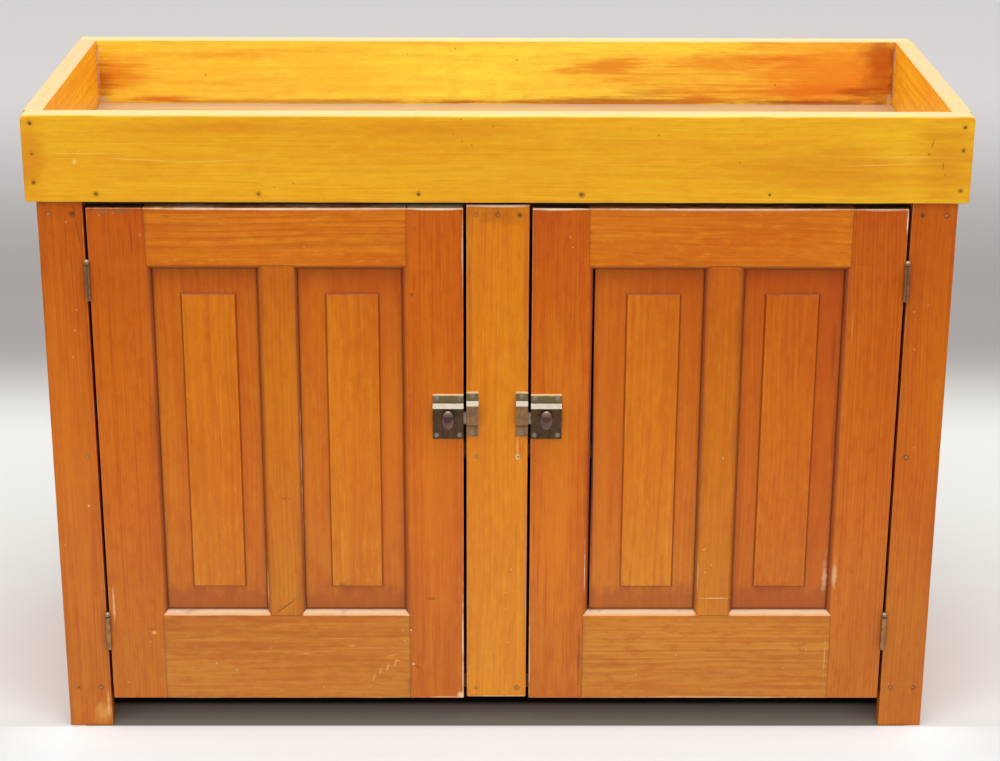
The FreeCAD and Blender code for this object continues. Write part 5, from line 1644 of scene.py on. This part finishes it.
def patina(name, color, metal_share=0.85, roughness=0.34, flange=None, crest=None,
           spread=1.0):
    """Old plated metal: a mottled film on it, and paler where a face looks up, rubbed metal with a
    painted highlight; faces that look down are darkened, a painted shade.

    A latch's flange has its own tint, and its crest is rubbed bare.
    """
    metal = bpy.context.scene.cabinet_metal
    graph = Graph(name)
    x, y, z = graph.parts(graph.object_place())
    normal = graph.facing()
    patches = graph.noise(graph.vector(x * 150, y * 150, z * 90), 4.0, 0.6)
    pits = graph.noise(graph.vector(x * 900, y * 900, z * 900), 2.0)
    color = np.array(color)
    graph.color = graph.blend(graph.step(patches, 0.35, 0.65), color * (1.25, 1.15, 0.95),
                              color * (0.72, 0.72, 0.8))
    if flange is not None:
        graph.lay(graph.step(z, FLANGE_FOOT - MM, FLANGE_FOOT), flange)
    graph.lay(graph.step(pits, 0.62, 0.8) * 0.5, metal.tarnish)
    # Painted shade: faces that look down are darkened and lose their metal, hiding a reflection.
    under = graph.step(normal[2], -0.2, -0.6)
    graph.lay(under * 0.8, metal.tarnish)
    # Rubbed metal and a painted highlight where a face looks up.
    rub_and_sheen = graph.step(normal[2], 0.25, 0.55) * (graph.step(patches, 0.75, 0.5) * 0.3 + 0.7)
    graph.lay(rub_and_sheen * spread, metal.worn)
    share = metal_share - under * metal_share
    if crest is not None:
        bare = graph.step(z + (patches - 0.5) * 0.002, crest - CREST_FOOT, crest - CREST_FULL)
        graph.lay(bare, metal.crest)
        share = share - bare * 0.6
    return graph.surface(
        Base_Color=graph.color, Metallic=share,
        Roughness=roughness + (patches - 0.5) * 0.2 + rub_and_sheen * 0.24 * spread,
        Normal=graph.bump(patches * 0.7 + pits * 0.3, 0.0002, 0.35))


class CABINET_OT_hardware(bpy.types.Operator):
    """Finishes hinges, latches, keepers, screws and knobs"""
    bl_idname = "cabinet.make_hardware"
    bl_label = "Hardware"

    def execute(self, context):
        metal = context.scene.cabinet_metal
        plate = patina("latch_plate", metal.plate, flange=metal.flange,
                       crest=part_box("left_latch_case")[1][2])
        keeper = patina("keeper_plate", metal.keeper, flange=metal.flange,
                        crest=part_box("left_keeper")[1][2])
        bolt = patina("bolt_metal", metal.bolt)
        hinge = patina("hinge_metal", metal.hinge)
        screw = patina("screw_metal", metal.worn, 0.4)
        knob = patina("knob_bronze", metal.knob, 0.7, 0.22, spread=0.5)
        finishes = {"hinge_pins": hinge, "frame_hinge_screws": screw, "keeper_screws": screw}
        for side in SIDES:
            finishes |= {
                f"{side}_frame_leaves": hinge, f"{side}_door_leaves": hinge,
                f"{side}_door_hinge_screws": screw, f"{side}_latch_screws": screw,
                f"{side}_bolt": bolt, f"{side}_latch_case": plate, f"{side}_keeper": keeper,
                f"{side}_knob": knob}
        for node_name, finish in finishes.items():
            for slot in NODES[node_name].material_slots:
                slot.material = finish
        return {"FINISHED"}


# ---------------------------------------------------------------- studio

FLOOR_REACH = 24.0
SENSOR_WIDTH = 36
ROOM_COLOR = (0.985, 0.99, 1.0, 1.0)
SOFTBOX_SIZE = (4.0, 2.8)
SOFTBOX_PLACE = (0, -1.2, 4.3)
SOFTBOX_TILT = math.radians(-18)


class CABINET_OT_studio(bpy.types.Operator):
    """Sets up the floor, the lamps and the camera"""
    bl_idname = "cabinet.make_studio"
    bl_label = "Studio"

    def execute(self, context):
        studio = context.scene.cabinet_studio
        scene = context.scene
        scene.view_settings.view_transform = "Standard"

        mesh = bpy.data.meshes.new("floor")
        corners = [(x * FLOOR_REACH, y * FLOOR_REACH, 0)
                   for x, y in ((-1, -1), (1, -1), (1, 1), (-1, 1))]
        mesh.from_pydata(corners, [], [(0, 1, 2, 3)])
        mesh.materials.append(floor_paint(studio))
        floor = bpy.data.objects.new("floor", mesh)
        scene.collection.objects.link(floor)

        world = bpy.data.worlds.new("room")
        world.use_nodes = True
        background = world.node_tree.nodes["Background"]
        background.inputs["Color"].default_value = ROOM_COLOR
        background.inputs["Strength"].default_value = studio.sky_strength
        scene.world = world

        lamp = bpy.data.lights.new("softbox", "AREA")
        lamp.shape = "RECTANGLE"
        lamp.size, lamp.size_y = SOFTBOX_SIZE
        lamp.energy = studio.softbox_power
        softbox = bpy.data.objects.new("softbox", lamp)
        softbox.location = SOFTBOX_PLACE
        softbox.rotation_euler = (SOFTBOX_TILT, 0, 0)
        softbox.visible_camera = False
        scene.collection.objects.link(softbox)

        camera_data = bpy.data.cameras.new("camera")
        camera_data.sensor_width = SENSOR_WIDTH
        camera_data.lens = studio.lens
        camera = bpy.data.objects.new("camera", camera_data)
        camera.rotation_mode = "QUATERNION"
        camera.location = studio.eye
        camera.rotation_quaternion = camera_turn(studio)
        scene.collection.objects.link(camera)
        scene.camera = camera
        return {"FINISHED"}


def camera_turn(studio):
    """The camera's turn: level and north, then roll, pitch and yaw."""
    level = Matrix.Rotation(math.radians(90), 3, "X")
    pitch = Matrix.Rotation(-studio.pitch, 3, "X")
    yaw = Matrix.Rotation(-studio.yaw, 3, "Z")
    roll = Matrix.Rotation(studio.roll, 3, "Z")
    return (yaw @ pitch @ level @ roll).to_quaternion()


def floor_paint(studio):
    """Pale paper with a darker band of painted shade behind the cabinet, which pales again.

    Each step's two numbers are x or y in metres, between which one tint gives way to the next.
    Under the cabinet a painted shadow lies on the paper, with a sharp front edge; just before it a
    painted pool of light brightens the paper, and to the sides painted shade darkens it.  Far
    before it the studio's floor is dark, which only the cabinet sees.
    """
    graph = Graph("floor_paint")
    x, y, _ = graph.parts(graph.object_place())
    aside = graph.math("ABSOLUTE", x)
    # Painted shade: the floor before the cabinet is darker to the sides.
    graph.color = graph.blend(graph.step(y, -0.19, -0.25), studio.floor, studio.aside)
    # A painted pool of light before the cabinet, brightest close to it.
    before = graph.step(y, -0.2345, -0.2375) * graph.step(aside, 0.78, 0.56)
    graph.lay(before, graph.blend(graph.step(y, -0.24, -0.34), studio.foot, studio.front))
    # A painted shadow under the cabinet, with a sharp front edge.
    shadow_area = graph.step(aside, 0.58, 0.57) * graph.step(y, -0.2345, -0.2325)
    painted_shadow = graph.blend(graph.step(y, -0.232, -0.2), studio.shadow_edge, studio.under)
    painted_shadow = graph.blend(graph.step(y, -0.178, -0.16), painted_shadow, studio.deep)
    graph.lay(shadow_area * graph.step(y, 0.3, 0.24), painted_shadow)
    # A band of painted shade behind the cabinet, and paler backdrop beyond.
    graph.lay(graph.step(y, 0.86, 1.42), studio.shade)
    graph.lay(graph.step(y, 1.75, 3.9), studio.far)
    seen = graph.add("ShaderNodeLightPath", {}, {}, "Is Camera Ray")
    graph.lay(graph.step(y, -0.9, -1.5) * (1 - seen), studio.near)
    return graph.surface(Base_Color=graph.color, Roughness=0.6, Specular_IOR_Level=0.2)


# ---------------------------------------------------------------- panel and registration

OPERATORS = (CABINET_OT_tray, CABINET_OT_case, CABINET_OT_doors, CABINET_OT_nails,
             CABINET_OT_hardware, CABINET_OT_studio)


class CABINET_PT_sidebar(bpy.types.Panel):
    """Lists the cabinet's steps and settings"""
    bl_idname = "CABINET_PT_sidebar"
    bl_label = "Dry Sink Cabinet"
    bl_space_type = "VIEW_3D"
    bl_region_type = "UI"
    bl_category = "Cabinet"

    def draw(self, context):
        for operator in OPERATORS:
            self.layout.operator(operator.bl_idname)
        for name, group in SETTINGS.items():
            box = self.layout.box()
            box.label(text=group.__doc__)
            settings = getattr(context.scene, name)
            for field in group.__annotations__:
                box.prop(settings, field)


CLASSES = (*SETTINGS.values(), *OPERATORS, CABINET_PT_sidebar)


def register():
    """Adds the classes and the scene's settings."""
    for group in CLASSES:
        bpy.utils.register_class(group)
    for name, group in SETTINGS.items():
        setattr(bpy.types.Scene, name, bpy.props.PointerProperty(type=group))


def unregister():
    """Takes the scene's settings and the classes away."""
    for name in SETTINGS:
        delattr(bpy.types.Scene, name)
    for group in reversed(CLASSES):
        bpy.utils.unregister_class(group)


def main():
    """Builds the cabinet's looks and its studio."""
    register()
    bpy.ops.cabinet.make_tray()
    bpy.ops.cabinet.make_case()
    bpy.ops.cabinet.make_doors()
    bpy.ops.cabinet.make_nails()
    bpy.ops.cabinet.make_hardware()
    bpy.ops.cabinet.make_studio()


if __name__ == "__main__":
    main()
